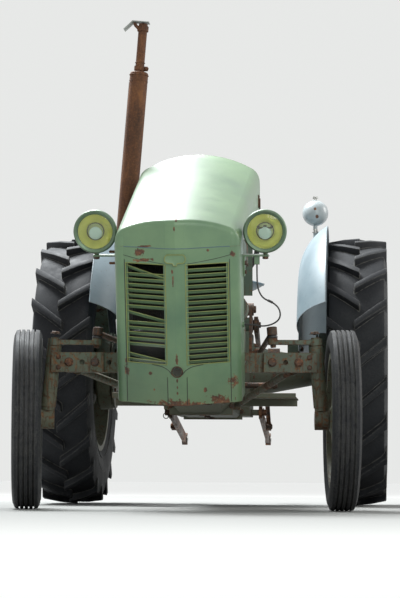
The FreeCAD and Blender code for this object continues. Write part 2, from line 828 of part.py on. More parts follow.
def louvres(name, side):
    """A bank of sloping slats between two upright strips; the right bank's are bent and two are gone."""
    inner = pillar_half + 1
    outer = louvre_outer_x - 1
    gap = 1.0
    strip = 8.0
    pieces = []
    for x in (inner, outer - strip):
        low = V(side * x, nose_face_y(x, louvre_foot_z) + sheet + gap, louvre_foot_z - 8)
        wide = side * strip
        back = low.y + strip * vee_slope
        foot = face(at_z(low.z), (low.x, low.y), (low.x + wide, back),
                    (low.x + wide, back + strip_depth), (low.x, low.y + strip_depth))
        height = louvre_top_z - louvre_foot_z + 16
        pieces.append(foot.extrude(V(0, -nose_rake * height / (seam_z - nose_foot_z), height)))
    for row in range(int((louvre_top_z - louvre_foot_z) / slat_pitch)):
        inner_rise, outer_rise = 0, 0
        if side < 0:
            if row in missing_slats:
                continue
            inner_rise, outer_rise = bent_slats.get(row, (0, 0))
        z = louvre_foot_z + slat_pitch * (row + 0.5) + slat_wall
        start = V(side * inner, nose_face_y(inner, z + inner_rise) + sheet + gap, z + inner_rise)
        end = V(side * outer, nose_face_y(outer, z + outer_rise) + sheet + gap, z + outer_rise)
        slope = V(0, slat_depth * 0.8, -slat_depth * 0.6)
        thick = V(0, 0, slat_wall)
        slat = flat(start, start + slope, start + slope + thick, start + thick).extrude(end - start)
        pieces.append(slat)
    save("louvres_" + name, tipped(fused(pieces)))


def lamp_bowl(radius, depth, lip):
    """A closed bowl about the Y axis behind a raised rim, its mouth at y = 0."""
    button = 12.0
    bowl = radius - lamp_lip
    return face(at_x(0), (0, 0), (0, radius), (lip, radius), (lip + lamp_lip, bowl),
                (depth, button, depth * 0.7, bowl * 0.72), (depth, 0)).revolve(V(0, 0, 0), ALONG_Y, 360)


def headlamps():
    """Two domed bowls with their glasses, each on a strap and plate from the side of the nose."""
    bowls = []
    glasses = []
    brackets = []
    wall = 6.0
    for side in (1, -1):
        centre = V(side * lamp_x, front_y + lamp_y, lamp_z)
        solid = moved(lamp_bowl(lamp_radius, lamp_depth, 14), centre)
        hollow = moved(lamp_bowl(lamp_radius - wall, lamp_depth - wall, 12), centre - ALONG_Y * 0.01)
        bowls.append(tipped(solid.cut(hollow)))
        edge = lamp_radius - wall - pin_gap
        glass = face(at_x(0), (-9, 0), (-9, 8), (1, edge, -6, edge * 0.6), (5, edge),
                     (-5, 8, -2, edge * 0.6), (-5, 0))
        glasses.append(tipped(moved(glass.revolve(V(0, 0, 0), ALONG_Y, 360), centre)))
        bracket = tipped(lamp_mount(side).cut(solid))
        if side > 0:
            start = lead_point(0)
            bracket = fused([bracket, block((start.x - 10, start.x + 10), (start.y - 8, start.y + 8),
                                            (start.z, start.z + connector_height))])
        brackets.append(bracket)
    save("headlamps", Part.makeCompound(bowls))
    save("headlamp_glass", Part.makeCompound(glasses))
    save("lamp_brackets", Part.makeCompound(brackets))


def lead_point(index):
    x, y, z = lead_route[index]
    return V(x, front_y + y, z)


def lamp_lead():
    """Loose lead of the left headlamp, as straight runs joined by arcs."""
    points = [lead_point(index) for index in range(len(lead_route))]
    radius = lead_diameter / 2
    pieces = []
    start = points[0]
    radii = []
    for before, corner, after in zip(points, points[1:], points[2:]):
        back = corner - before
        ahead = after - corner
        half_turn = back.getAngle(ahead) / 2
        tangent = 0.45 * min(back.Length, ahead.Length)
        radii.append(tangent / math.tan(half_turn))
        arc_start = corner - back.normalize() * tangent
        arc_end = corner + ahead.normalize() * tangent
        middle_way = (arc_end - corner) + (arc_start - corner)
        reach = radii[-1] / math.cos(half_turn) - radii[-1]
        arc_middle = corner + middle_way.normalize() * reach
        pieces.append(Part.LineSegment(start, arc_start).toShape())
        pieces.append(Part.Arc(arc_start, arc_middle, arc_end).toShape())
        start = arc_end
    pieces.append(Part.LineSegment(start, points[-1]).toShape())
    path = Part.Wire(pieces)
    circle = Part.Wire(Part.makeCircle(radius, points[0], points[1] - points[0]))
    lead = path.makePipeShell([circle], True, False)
    print("lamp lead: length %.0f mm, bends %s mm" % (path.Length, [round(bend) for bend in radii]))
    save("lamp_lead", lead)


def front_support():
    """Casting that straddles the beam and carries the radiator and the bonnet's hinge pin."""
    half = 105.0
    gap_front = front_y - beam_depth / 2 - arm_depth - 4
    gap_rear = front_y + beam_depth / 2 + 2
    rear = front_y + engine_front_y
    top = radiator_foot_z
    low = beam_z - beam_height / 2 - 30
    web_top = beam_z + beam_height / 2 + 6
    solid = prism(at_x(-half), V(2 * half, 0, 0), (gap_front - 130, low + 40), (gap_front, low),
                  (gap_front, web_top), (gap_rear, web_top), (gap_rear, low), (rear, low), (rear, top),
                  (gap_front - 130, top))
    solid = solid.cut(block((-pulley_pocket, pulley_pocket), (gap_rear - 8, rear + 1), (web_top + 10, top + 1)))
    pivot = rod(V(0, gap_front - 10, beam_z), V(0, gap_rear + 10, beam_z), 18)
    hinge = V(0, front_y + hinge_y, hinge_z)
    pieces = [solid, pivot]
    reach = ALONG_X * (hinge_ear_x + 20)
    pieces.append(rod(hinge - reach, hinge + reach, hinge_pin_radius))
    for side in (1, -1):
        x = side * (hinge_ear_x - 25)
        pieces.append(prism(at_x(x - 6), V(12, 0, 0), (hinge.y - 14, hinge.z),
                            (hinge.y + 14, hinge.z, hinge.y, hinge.z - 14),
                            (gap_front - 60, low + 40), (gap_front - 125, low + 60)))
    save("front_support", fused(pieces))


def radiator():
    y = (front_y + radiator_front_y, front_y + radiator_rear_y)
    core = block((-radiator_half + 14, radiator_half - 14), (y[0] + 10, y[1] - 10),
                 (radiator_foot_z + 50, radiator_top_z - 60))
    foot = block((-radiator_half, radiator_half), y, (radiator_foot_z, radiator_foot_z + 50))
    head = block((-radiator_half, radiator_half), y, (radiator_top_z - 60, radiator_top_z - 8))
    head = head.makeFillet(12, [e for e in head.Edges if e.BoundBox.ZMin > radiator_top_z - 9])
    cheeks = []
    for side in (1, -1):
        x = sorted((side * (radiator_half - 14), side * radiator_half))
        cheeks.append(block(x, y, (radiator_foot_z + 50, radiator_top_z - 60)))
    middle = (y[0] + y[1]) / 2
    neck = rod(V(0, middle, radiator_top_z - 12), V(0, middle, radiator_top_z + 22), 27)
    ports = []
    for x, z in ((hose_top_x, hose_top_z), (-hose_foot_x, hose_foot_z)):
        ports.append(rod(V(x, y[1] - 4, z), V(x, y[1] + 12, z), hose_radius - 3))
    save("radiator", fused([core, foot, head, neck] + cheeks + ports))


def radiator_hoses():
    """Top hose to the cylinder head and bottom hose to the block, each over the radiator's port."""
    port_y = front_y + radiator_rear_y
    riser_y = front_y + engine_front_y + 42
    x = hose_top_x
    top = [V(x, port_y, hose_top_z), V(x, riser_y, hose_top_z), V(x, riser_y, head_top_z)]
    foot = [V(-hose_foot_x, port_y, hose_foot_z), V(-hose_foot_x, front_y + engine_front_y, hose_foot_z)]
    hoses = []
    for points in (top, foot):
        hose = bent(points, hose_radius, 36) if len(points) > 2 else rod(points[0], points[1], hose_radius)
        hoses.append(hose.cut(rod(points[0], points[0] + ALONG_Y * 12.5, hose_radius - 3 + pin_gap)))
    save("radiator_hoses", Part.makeCompound(hoses))


def fan():
    """Four-blade fan and its belt pulley on the water pump's shaft."""
    z = fan_z
    y = front_y + engine_front_y - 42
    hub = rod(V(0, y, z), V(0, front_y + engine_front_y - pin_gap, z), 30)
    pieces = [hub, pulley(V(0, front_y + belt_y, z), 52)]
    for blade in range(4):
        plate = prism(at_y(y + 6), ALONG_Y * 4, (-20, z + 20), (-40, z + fan_reach - 12),
                      (-28, z + fan_reach), (28, z + fan_reach), (40, z + fan_reach - 12), (20, z + 20))
        plate.rotate(V(0, y + 8, z), ALONG_Z, 25)
        plate.rotate(V(0, y, z), ALONG_Y, 45 + 90 * blade)
        pieces.append(plate)
    save("fan", fused(pieces))


def pulley(middle, radius):
    """A belt pulley about the Y axis with a V groove."""
    half = belt_width / 2 + 4
    ring = face(at_x(0), (-half, 0), (-half, radius), (-half + 3, radius), (-3, radius - 10),
                (3, radius - 10), (half - 3, radius), (half, radius), (half, 0))
    return moved(ring.revolve(V(0, 0, 0), ALONG_Y, 360), middle)


def engine():
    y = (front_y + engine_front_y, front_y + engine_rear_y)
    case = block((-block_half, block_half), y, (block_foot_z, block_top_z))
    flange = block((-block_half - 8, block_half + 8), (y[0], y[1]), (block_foot_z - 10, block_foot_z + 6))
    sump = prism(at_x(-block_half + 14), V(2 * block_half - 28, 0, 0), (y[0] + 8, block_foot_z),
                 (y[1] - 20, block_foot_z), (y[1] - 20, sump_foot_z), (y[0] + 190, sump_foot_z),
                 (y[0] + 130, sump_foot_z + 60), (y[0] + 8, sump_foot_z + 60))
    plugs = []
    for step in range(4):
        at = y[0] + 75 + step * cylinder_pitch
        for side in (1, -1):
            plugs.append(rod(V(side * (block_half - 2), at, block_top_z - 150),
                             V(side * (block_half + 3), at, block_top_z - 150), 19))
    save("engine_block", fused([case, flange, sump] + plugs))
    head = block((-block_half + 12, block_half - 12), (y[0] + 20, y[1] - 50), (block_top_z, head_top_z))
    cover = block((-72, 60), (y[0] + 45, y[1] - 75), (head_top_z, rocker_top_z))
    cover = cover.makeFillet(20, [e for e in cover.Edges if e.BoundBox.ZMin > rocker_top_z - 1])
    rim_plate = block((-80, 68), (y[0] + 37, y[1] - 67), (head_top_z, head_top_z + 8))
    pump = rod(V(0, y[0], fan_z), V(0, y[0] + 20, fan_z), 38)
    sparks = []
    for step in range(4):
        at = y[0] + 75 + step * cylinder_pitch
        foot = V(block_half - 22, at + 18, head_top_z - 8)
        sparks.append(rod(foot, foot + V(14, 0, 34), 9))
    save("cylinder_head", fused([head, cover, rim_plate, pump] + sparks))


def engine_fittings():
    """Front cover with the crank pulley, dynamo, distributor, oil filter and starter motor."""
    y = front_y + engine_front_y
    side = block_half
    cover = prism(at_y(y - 12), ALONG_Y * 12, (-88, front_cover_foot_z), (-88, 760), (-52, 838), (52, 838),
                  (88, 760), (88, front_cover_foot_z))
    crank = rod(V(0, front_y + belt_y, crank_z), V(0, y - 6, crank_z), 18)
    front = fused([cover, crank, pulley(V(0, front_y + belt_y, crank_z), 56)])
    axis = V(side + 64, 0, dynamo_z)
    dynamo = fused([rod(V(axis.x, y + 18, axis.z), V(axis.x, y + 200, axis.z), 52),
                    rod(V(axis.x, y + 8, axis.z), V(axis.x, y + 18, axis.z), 40),
                    rod(V(axis.x, front_y + belt_y, axis.z), V(axis.x, y + 10, axis.z), 9),
                    pulley(V(axis.x, front_y + belt_y, axis.z), 36),
                    block((side, axis.x), (y + 40, y + 58), (axis.z - 66, axis.z - 34)),
                    block((side, axis.x), (y + 150, y + 168), (axis.z - 66, axis.z - 34))])
    seat = V(side + 40, y + 285, 770)
    distributor = fused([rod(seat, seat + ALONG_Z * 74, 17),
                         rod(seat + ALONG_Z * 70, seat + ALONG_Z * 96, 34),
                         rod(seat + ALONG_Z * 96, seat + ALONG_Z * 122, 30),
                         block((side, seat.x + 12), (seat.y - 20, seat.y + 20), (seat.z - 26, seat.z + 4))])
    filter_at = V(side + 52, y + 375, 620)
    oil_filter = fused([rod(filter_at, filter_at + ALONG_Z * 118, 40),
                        rod(filter_at + ALONG_Z * 112, filter_at + ALONG_Z * 132, 30),
                        block((side, filter_at.x), (filter_at.y - 24, filter_at.y + 24),
                              (filter_at.z + 104, filter_at.z + 126))])
    motor_end = front_y + engine_rear_y
    motor = V(side + 46, motor_end, 614)
    starter = fused([rod(motor, motor - ALONG_Y * 165, 42),
                     rod(motor + V(10, -40, 62), motor + V(10, -140, 62), 22),
                     block((motor.x - 12, motor.x + 30), (motor_end - 120, motor_end - 60),
                           (motor.z, motor.z + 60))])
    save("engine_fittings", Part.makeCompound([front, dynamo, distributor, oil_filter, starter]))


def manifold():
    """Exhaust manifold on the right, with the inlet manifold under it."""
    y = front_y + engine_front_y
    x = -(block_half - 12)
    log = rod(V(x - 45, y + 60, 890), V(x - 45, y + 440, 890), 26)
    inlet = rod(V(x - 34, y + 130, inlet_z), V(x - 34, y + 370, inlet_z), 17)
    riser = block((x - 58, x - 26), (y + carburettor_y - 28, y + carburettor_y + 28), (inlet_z - 26, 880))
    pieces = [log, inlet, riser]
    for step in range(4):
        at = y + 75 + step * cylinder_pitch
        pieces.append(rod(V(x, at, 890), V(x - 45, at, 890), 22))
    save("manifold", fused(pieces))


def air_intake():
    """Carburettor under the inlet manifold, and the air cleaner on the side of the block that feeds it."""
    y = front_y + engine_front_y
    x = -(block_half + 30)
    top = V(x, y + carburettor_y, inlet_z - 26)
    throat = rod(top, top - ALONG_Z * 78, 19)
    flange = block((x - 24, x + 24), (top.y - 17, top.y + 17), (top.z - 8, top.z))
    bowl = rod(top + V(0, 46, -34), top + V(0, 46, -86), 27)
    neck = block((x - 12, x + 12), (top.y, top.y + 46), (top.z - 62, top.z - 40))
    elbow_z = top.z - 64
    can = V(-(block_half + 72), y + 78, cleaner_foot_z)
    hose = rod(V(x, top.y, elbow_z), V(x, can.y, elbow_z), 17)
    cleaner = fused([rod(can, can + ALONG_Z * 190, 58), rod(can - ALONG_Z * 14, can, 50),
                     rod(can + ALONG_Z * 190, can + ALONG_Z * 206, 44),
                     block((can.x, -block_half), (can.y - 20, can.y + 20), (can.z + 90, can.z + 150))])
    save("air_intake", fused([throat, flange, bowl, neck, hose, cleaner]))


def stack_point(z):
    slope = math.tan(math.radians(stack_lean))
    return V(-(stack_x - (z - stack_gauge_z) * slope), front_y + stack_y, z)


def exhaust_stack():
    """Upright silencer with a thinner tailpipe, on a bent pipe from the manifold."""
    foot = stack_point(silencer_foot_z)
    top = stack_point(silencer_top_z)
    end = stack_point(stack_top_z)
    low = stack_point(880)
    outlet = V(-(block_half - 12) - 45, front_y + engine_front_y + 440 + pin_gap, 890)
    elbow = bent([outlet, V(outlet.x, outlet.y + 90, 890), low, foot + (foot - low).normalize() * 20], 22, 60)
    body = rod(foot, top, silencer_radius)
    ring = [e for e in body.Edges if e.Length > 1 and e.Closed]
    body = body.makeFillet(10, ring)
    tail = tube(top - (top - foot).normalize() * 20, end, stack_pipe_radius, stack_pipe_radius - 2.5)
    save("exhaust_stack", fused([elbow, body, tail] + cap_clamp()))


def stack_plane(y):
    """Across and up the stack from the middle of its mouth, at a distance along Y."""
    end = stack_point(stack_top_z)
    slope = math.radians(stack_lean)
    up = V(math.sin(slope), 0, math.cos(slope))
    out = V(-math.cos(slope), 0, math.sin(slope))
    return lambda u, v: end + out * u + up * v + ALONG_Y * y


def cap_clamp():
    """Band round the tailpipe with two ears that hold the rain cap's pin."""
    at = stack_plane(0)
    band = tube(at(0, -32), at(0, -10), stack_pipe_radius + 5, stack_pipe_radius - 1)
    pieces = [band]
    for y in (-cap_half, cap_half - cap_ear):
        ear = prism(stack_plane(y), ALONG_Y * cap_ear, (stack_pipe_radius, -28), (cap_hinge_out + 5, -8),
                    (cap_hinge_out + 5, 2), (cap_hinge_out - 5, 2), (stack_pipe_radius, -12))
        pieces.append(ear)
    pin = rod(stack_plane(-cap_half)(cap_hinge_out, -2), stack_plane(cap_half)(cap_hinge_out, -2), 3.5)
    pieces.append(pin)
    return pieces


def rain_cap():
    """Hinged flap over the tailpipe, with its weight hanging on the outer side."""
    inside = cap_half - cap_ear - 1
    barrel = rod(stack_plane(-inside)(cap_hinge_out, -2), stack_plane(inside)(cap_hinge_out, -2), 6)
    plane = stack_plane(-26)
    lid = prism(plane, ALONG_Y * 52, (-26, 4.5), (cap_hinge_out + 6, 5), (cap_hinge_out + 42, -33),
                (cap_hinge_out + 45, -30), (cap_hinge_out + 9, 9), (-26, 8))
    neck = prism(stack_plane(-inside), ALONG_Y * 2 * inside, (cap_hinge_out - 5, -1), (cap_hinge_out + 5, -1),
                 (cap_hinge_out + 5, 7), (cap_hinge_out - 5, 7))
    start = stack_plane(-cap_half)(cap_hinge_out, -2)
    pin_hole = rod(start, stack_plane(cap_half)(cap_hinge_out, -2), 3.5 + pin_gap)
    save("rain_cap", fused([barrel, neck, lid]).cut(pin_hole))


def fuel_tank():
    y = (front_y + tank_front_y, front_y + tank_rear_y)
    body = block((-tank_half, tank_half), y, (tank_foot_z, tank_top_z))
    body = body.makeFillet(35, [e for e in body.Edges if e.BoundBox.YLength > 100])
    neck = rod(V(0, y[1] - 120, tank_top_z - 5), V(0, y[1] - 120, tank_top_z + 20), 32)
    saddle = block((-60, 60), (y[0] + 60, y[1] - 60), (rocker_top_z + pin_gap, tank_foot_z))
    save("fuel_tank", fused([body, neck, saddle]))


def dash():
    """Instrument panel behind the bonnet, on two legs from the clutch housing, and the battery."""
    y = front_y + dash_y
    foot = 905.0
    panel = prism(at_y(y), V(0, dash_wall, 0), (-dash_half, foot), (-dash_half, dash_top_z - 70),
                  (dash_half, dash_top_z - 70, 0, dash_top_z), (dash_half, foot))
    pieces = [panel]
    for side in (1, -1):
        x = sorted((side * dash_leg_x, side * (dash_leg_x + 18)))
        pieces.append(block(x, (y - 20, y), (gearbox_top_z, dash_top_z - 100)))
    for x, z, radius in gauges:
        pieces.append(tube(V(x, y + dash_wall - 1, z), V(x, y + dash_wall + 12, z), radius, radius - 4))
        pieces.append(rod(V(x, y + dash_wall - 1, z), V(x, y + dash_wall + 5, z), radius - 3))
    save("dash", fused(pieces))
    case = block((-115, 115), (front_y + 762, front_y + 872), (965, 1135))
    tray = block((-120, 120), (front_y + 757, y - 20.0), (955, 965))
    save("battery", fused([case, tray]))


def pedals():
    """Clutch pedal on the left and the two brake pedals on the right, on their cross shafts."""
    y = front_y + pedal_y
    sets = []
    for side, pads in ((1, (300.0,)), (-1, (292.0, 352.0))):
        pieces = [rod(V(side * gearbox_half, y, pedal_z), V(side * (pads[-1] + 14), y, pedal_z), 13)]
        for x in pads:
            start = side * x
            arm = prism(at_x(start - 6), V(12, 0, 0), (y - 17, pedal_z), (y + 17, pedal_z, y, pedal_z - 17),
                        (y - 34, pedal_z + 128), (y - 58, pedal_z + 140), (y - 62, pedal_z + 128),
                        (y - 46, pedal_z + 112))
            pad = prism(at_x(start - 26), V(52, 0, 0), (y - 84, pedal_z + 108), (y - 76, pedal_z + 104),
                        (y - 40, pedal_z + 156), (y - 48, pedal_z + 160))
            pieces += [arm, pad]
        sets.append(fused(pieces))
    save("pedals", Part.makeCompound(sets))


def levers():
    """Gear and range levers on their tower, and the lift's lever beside the seat."""
    y = front_y + lever_y
    base = gearbox_top_z
    tower = block((-72, 72), (y - 70, y + 60), (base, base + 10))
    pieces = [tower]
    for x, knob in ((24, V(62, 112, 134)), (-34, V(-52, 96, 88))):
        root = V(x, y, base + 8)
        pieces.append(Part.makeCone(26, 12, 26, root, ALONG_Z))
        tip = V(root.x, root.y, base) + knob
        pieces.append(rod(root + ALONG_Z * 20, tip, 7))
        pieces.append(Part.makeSphere(15, tip))
    gear = fused(pieces)
    x = 120.0
    pivot = V(-x, rear_y - 128, lift_shaft_z - 6)
    reach = V(-(lift_lever_x + 8), pivot.y, pivot.z)
    top = V(-lift_lever_x, pivot.y - 66, seat_z + 92)
    hydraulic = fused([rod(pivot, reach, 11), rod(V(-lift_lever_x, pivot.y, pivot.z), top, 7),
                       Part.makeSphere(14, top)])
    save("levers", Part.makeCompound([gear, hydraulic]))


def transmission():
    """Clutch housing and gearbox, waisted behind the engine, with the flanges that join them."""
    y = [front_y + engine_rear_y, front_y + clutch_rear_y, front_y + gearbox_rear_y]
    ends = []
    for at, half, low, high in ((y[0], 150, 440, block_top_z),
                                (y[1], gearbox_half, gearbox_foot_z, gearbox_top_z)):
        cut = half * 0.3
        end = face(at_y(at), (-half, low + cut), (-half, high - cut), (-half + cut, high),
                   (half - cut, high), (half, high - cut), (half, low + cut), (half - cut, low),
                   (-half + cut, low))
        ends.append(end.OuterWire)
    housing = Part.makeLoft(ends, True, True)
    ring = block((-162, 162), (y[0], y[0] + flange_wall), (430, block_top_z - 1))
    ring = ring.makeFillet(40, [e for e in ring.Edges if e.BoundBox.YLength > flange_wall - 1])
    save("clutch_housing", fused([housing, ring]))
    half = gearbox_half
    low = gearbox_foot_z
    case = prism(at_y(y[1]), ALONG_Y * (y[2] - y[1]), (-half + 14, low), (-half, low + 14),
                 (-half, gearbox_top_z), (half, gearbox_top_z), (half, low + 14), (half - 14, low))
    pieces = [case]
    for at in (y[1], y[2] - flange_wall):
        pieces.append(block((-half - 10, half + 10), (at, at + flange_wall), (low - 8, gearbox_top_z - 60)))
    for step in range(3):
        at = y[1] + 330 + step * 110
        pieces.append(block((-half - 6, half + 6), (at, at + 12), (low + 40, gearbox_top_z - 90)))
    save("gearbox", fused(pieces))


def rear_axle():
    """Centre housing with its trumpets out to the brake back plates, and the top link's bracket."""
    centre = V(0, rear_y, rear_tyre_radius)
    body = prism(at_x(-centre_half), V(2 * centre_half, 0, 0), (rear_y + centre_front_y, centre_foot_z),
                 (rear_y + centre_front_y, centre_top_z), (rear_y + centre_rear_y, centre_top_z),
                 (rear_y + centre_rear_y, centre_foot_z + 50),
                 (rear_y + centre_rear_y - 50, centre_foot_z,
                  rear_y + centre_rear_y - 15, centre_foot_z + 15))
    pieces = [body]
    for side in (1, -1):
        start = V(side * centre_half, centre.y, centre.z)
        pieces.append(Part.makeCone(118, trumpet_radius, trumpet_end_x - centre_half, start, V(side, 0, 0)))
        pieces.append(rod(start, start + V(side * flange_wall, 0, 0), 132))
        plate_end = drum_start_x - running_gap
        start = V(side * (plate_end - 8), centre.y, centre.z)
        pieces.append(rod(start, V(side * plate_end, centre.y, centre.z), drum_radius - 6))
        seat = block(sorted((side * (fender_inner_x - 60), side * fender_inner_x)),
                     (rear_y - 45, rear_y + 45), (centre.z + 40, fender_foot_z + 50))
        pieces.append(seat)
        pieces.append(rod(V(side * (centre_half - 20), rear_y, link_pivot_z),
                          V(side * (link_x + link_wall + 8), rear_y, link_pivot_z), 14))
        x = sorted((side * top_link_half, side * (top_link_half + 14)))
        rear = rear_y + centre_rear_y
        cheek = prism(at_x(x[0]), V(14, 0, 0), (rear - 4, top_link_z - 42), (rear - 4, top_link_z + 42),
                      (rear + 34, top_link_z + 20), (rear + 34, top_link_z - 20, rear + 54, top_link_z))
        pieces.append(cheek)
    shaft_end = rear_y + centre_rear_y + pto_length
    shaft = rod(V(0, rear_y + centre_rear_y - 5, pto_z), V(0, shaft_end, pto_z), pto_radius)
    axle = fused(pieces + [shaft])
    for side in (1, -1):
        start = V(side * (drum_start_x - shaft_reach - 2), centre.y, centre.z)
        axle = axle.cut(rod(start, V(side * drum_start_x, centre.y, centre.z), shaft_radius + pin_gap))
    bore = V(0, rear_y + centre_rear_y + 32, top_link_z)
    axle = axle.cut(rod(bore - ALONG_X * 60, bore + ALONG_X * 60, top_link_radius))
    save("rear_axle", axle)
    cover = prism(at_x(-120), V(240, 0, 0), (rear_y + centre_front_y, centre_top_z),
                  (rear_y + centre_rear_y - 20, centre_top_z), (rear_y + 100, lift_cover_top),
                  (rear_y - 150, lift_cover_top))
    cover = cover.makeFillet(16, [e for e in cover.Edges if e.BoundBox.ZMin > lift_cover_top - 1
                                  and e.BoundBox.YLength < 1])
    base = block((-138, 138), (rear_y + centre_front_y, rear_y + centre_rear_y - 4),
                 (centre_top_z, centre_top_z + 12))
    bosses = rod(V(-lift_arm_x + 6, rear_y, lift_shaft_z), V(lift_arm_x - 6, rear_y, lift_shaft_z), 36)
    bore = rod(V(-lift_arm_x, rear_y, lift_shaft_z), V(lift_arm_x, rear_y, lift_shaft_z), 25 + pin_gap)
    save("lift_cover", fused([cover, base, bosses]).cut(bore))


def lift_arms():
    """Cross shaft with an arm on each end."""
    pieces = [rod(V(-lift_arm_x - lift_arm_wall, rear_y, lift_shaft_z),
                  V(lift_arm_x + lift_arm_wall, rear_y, lift_shaft_z), 25)]
    drop = math.radians(lift_arm_rest)
    end_y = rear_y + lift_arm_length * math.cos(drop)
    end_z = lift_shaft_z - lift_arm_length * math.sin(drop)
    for side in (1, -1):
        x = side * lift_arm_x
        push = V(side * lift_arm_wall, 0, 0)
        across = V(0, math.sin(drop), math.cos(drop))
        root = V(x, rear_y, lift_shaft_z)
        end = V(x, end_y, end_z)
        bar = flat(root + across * 34, end + across * 18, end - across * 18, root - across * 34)
        pieces.append(bar.extrude(push))
        pieces.append(rod(root, root + push, 40))
        pieces.append(rod(end, end + push, 20))
        pieces.append(rod(end, end + push * 2.2, 10))
    save("lift_arms", fused(pieces))
    return end_y, end_z


def lower_link(name, side):
    """Flat link from under the axle back to its ball end."""
    drop = math.radians(link_rest)
    along = V(0, math.cos(drop), -math.sin(drop))
    across = V(0, math.sin(drop), math.cos(drop))
    root = V(side * link_x, rear_y, link_pivot_z)
    end = root + along * link_length
    push = V(side * link_wall, 0, 0)
    bar = flat(root + across * 24, end + across * 22, end - across * 22, root - across * 24).extrude(push)
    solid = fused([bar, rod(root, root + push, 30), rod(end - push * 0.3, end + push * 1.3, 30)])
    solid = solid.cut(rod(root - push, root + push * 2, 14 + pin_gap))
    solid = solid.cut(rod(end - push, end + push * 2, link_eye_radius))
    rod_at = root + along * link_rod_at
    solid = solid.cut(rod(rod_at - push, rod_at + push * 2, 9))
    save("lower_link_" + name, solid)


def lift_rod(name, side, arm_end):
    """Rod that hangs from the lift arm's pin down to the lower link."""
    drop = math.radians(link_rest)
    low = V(0, rear_y + link_rod_at * math.cos(drop), link_pivot_z - link_rod_at * math.sin(drop))
    x = side * (lift_arm_x + lift_arm_wall + 12)
    top = V(x, arm_end[0], arm_end[1])
    outer_face = link_x + link_wall
    foot = V(side * (outer_face + 13), low.y, low.z)
    eye_push = V(side * 9, 0, 0)
    eye = rod(V(side * (outer_face + pin_gap), low.y, low.z), V(side * (outer_face + 24), low.y, low.z), 20)
    solid = fused([rod(top - eye_push, top + eye_push, 20), rod(top, foot, 11), eye])
    solid = solid.cut(rod(top - eye_push * 2, top + eye_push * 2, 10 + pin_gap))
    save("lift_rod_" + name, solid)


def radius_rods():
    """Rods that hold the front axle arms from the transmission."""
    pieces = []
    for side in (1, -1):
        front = V(side * 420, front_y + beam_depth / 2 + 16, 545)
        rear = V(side * 150, front_y + 950, 440)
        seat = rod(V(front.x, front_y + beam_depth / 2, front.z), V(front.x, front.y + 10, front.z), 22)
        eye = rod(V(side * gearbox_half, rear.y, rear.z), V(side * 165, rear.y, rear.z), 24)
        pieces.append(fused([rod(front, rear, 15), seat, eye]))
    save("radius_rods", Part.makeCompound(pieces))


def fender(side):
    """Side plate and narrow crown over the inner half of the rear tyre."""
    mid = (fender_inner_x + (fender_outer_x - fender_inner_x) * 0.293,
           fender_root_radius + (fender_radius - fender_root_radius) * 0.707)
    t = sheet
    section = face(at_y(0), (fender_inner_x, fender_root_radius),
                   (fender_outer_x, fender_radius, mid[0], mid[1]), (fender_outer_x, fender_radius - t),
                   (fender_inner_x + t, fender_root_radius, mid[0] + t * 0.8, mid[1] - t * 0.6))
    sweep = fender_front_angle + fender_rear_angle
    crown = section.revolve(V(0, 0, 0), ALONG_X, sweep)
    crown.rotate(V(0, 0, 0), ALONG_X, -fender_rear_angle)
    disc = rod(V(fender_inner_x, 0, 0), V(fender_inner_x + t, 0, 0), fender_root_radius + 3)
    low = fender_foot_z - rear_tyre_radius
    keep = block((fender_inner_x - 1, fender_inner_x + t + 1),
                 (-fender_root_radius - 9, fender_root_radius + 9), (low, fender_root_radius + 9))
    plate = disc.common(keep)
    solid = fused([crown, plate])
    if side < 0:
        solid = flipped(solid)
    return moved(solid, V(0, rear_y, rear_tyre_radius))


def work_lamp():
    """Round lamp on a stem on the left fender's crown."""
    centre = V(462, rear_y + 40, 1372)
    ball = Part.makeSphere(60, centre)
    ball = ball.cut(block((centre.x - 80, centre.x + 80), (centre.y + 28, centre.y + 80),
                          (centre.z - 80, centre.z + 80)))
    foot = V(centre.x, centre.y, rear_tyre_radius + 600)
    stem = rod(foot, centre - ALONG_Z * 40, 10).cut(fender(1))
    stem = max(stem.Solids, key=lambda solid: solid.CenterOfMass.z)
    stem = stem.cut(rod(foot, foot + ALONG_Z * (stem.BoundBox.ZMin + pin_gap - foot.z), 12))
    save("work_lamp", fused([ball, stem]))


def seat():
    """Pressed pan on a flat spring from the lift cover."""
    centre = V(0, rear_y + seat_y, seat_z)
    radius = 420.0
    dome = V(centre.x, centre.y, centre.z + radius)
    bowl = Part.makeSphere(radius, dome).cut(Part.makeSphere(radius - 4, dome))
    y = centre.y
    trim = prism(at_z(centre.z - 10), V(0, 0, 160), (-150, y - 190), (150, y - 190), (215, y - 60),
                 (190, y + 170, 222, y + 80), (-190, y + 170, 0, y + 215), (-215, y - 60, -222, y + 80))
    save("seat_pan", bowl.common(trim))
    low = lift_cover_top
    high = centre.z - pin_gap
    leaf = 8.0
    turn_y = rear_y + 50
    middle = (low + high) / 2
    outer_bend = turn_y + (high - low) / 2
    spring = prism(at_x(-32), V(64, 0, 0), (rear_y - 120, low), (turn_y, low),
                   (turn_y, high, outer_bend, middle), (y - 70, high), (y - 70, high - leaf), (turn_y, high - leaf),
                   (turn_y, low + leaf, outer_bend - leaf, middle), (rear_y - 120, low + leaf))
    save("seat_spring", spring)


def footrests():
    """Plates on bars from the gearbox."""
    pieces = []
    for side in (1, -1):
        x = sorted((side * 190, side * 400))
        plate = block(x, (front_y + 1020, front_y + 1330), (470, 476))
        bar = block(sorted((side * gearbox_half, side * 400)), (front_y + 1160, front_y + 1190), (440, 470))
        pieces.append(fused([plate, bar]))
    save("footrests", Part.makeCompound(pieces))


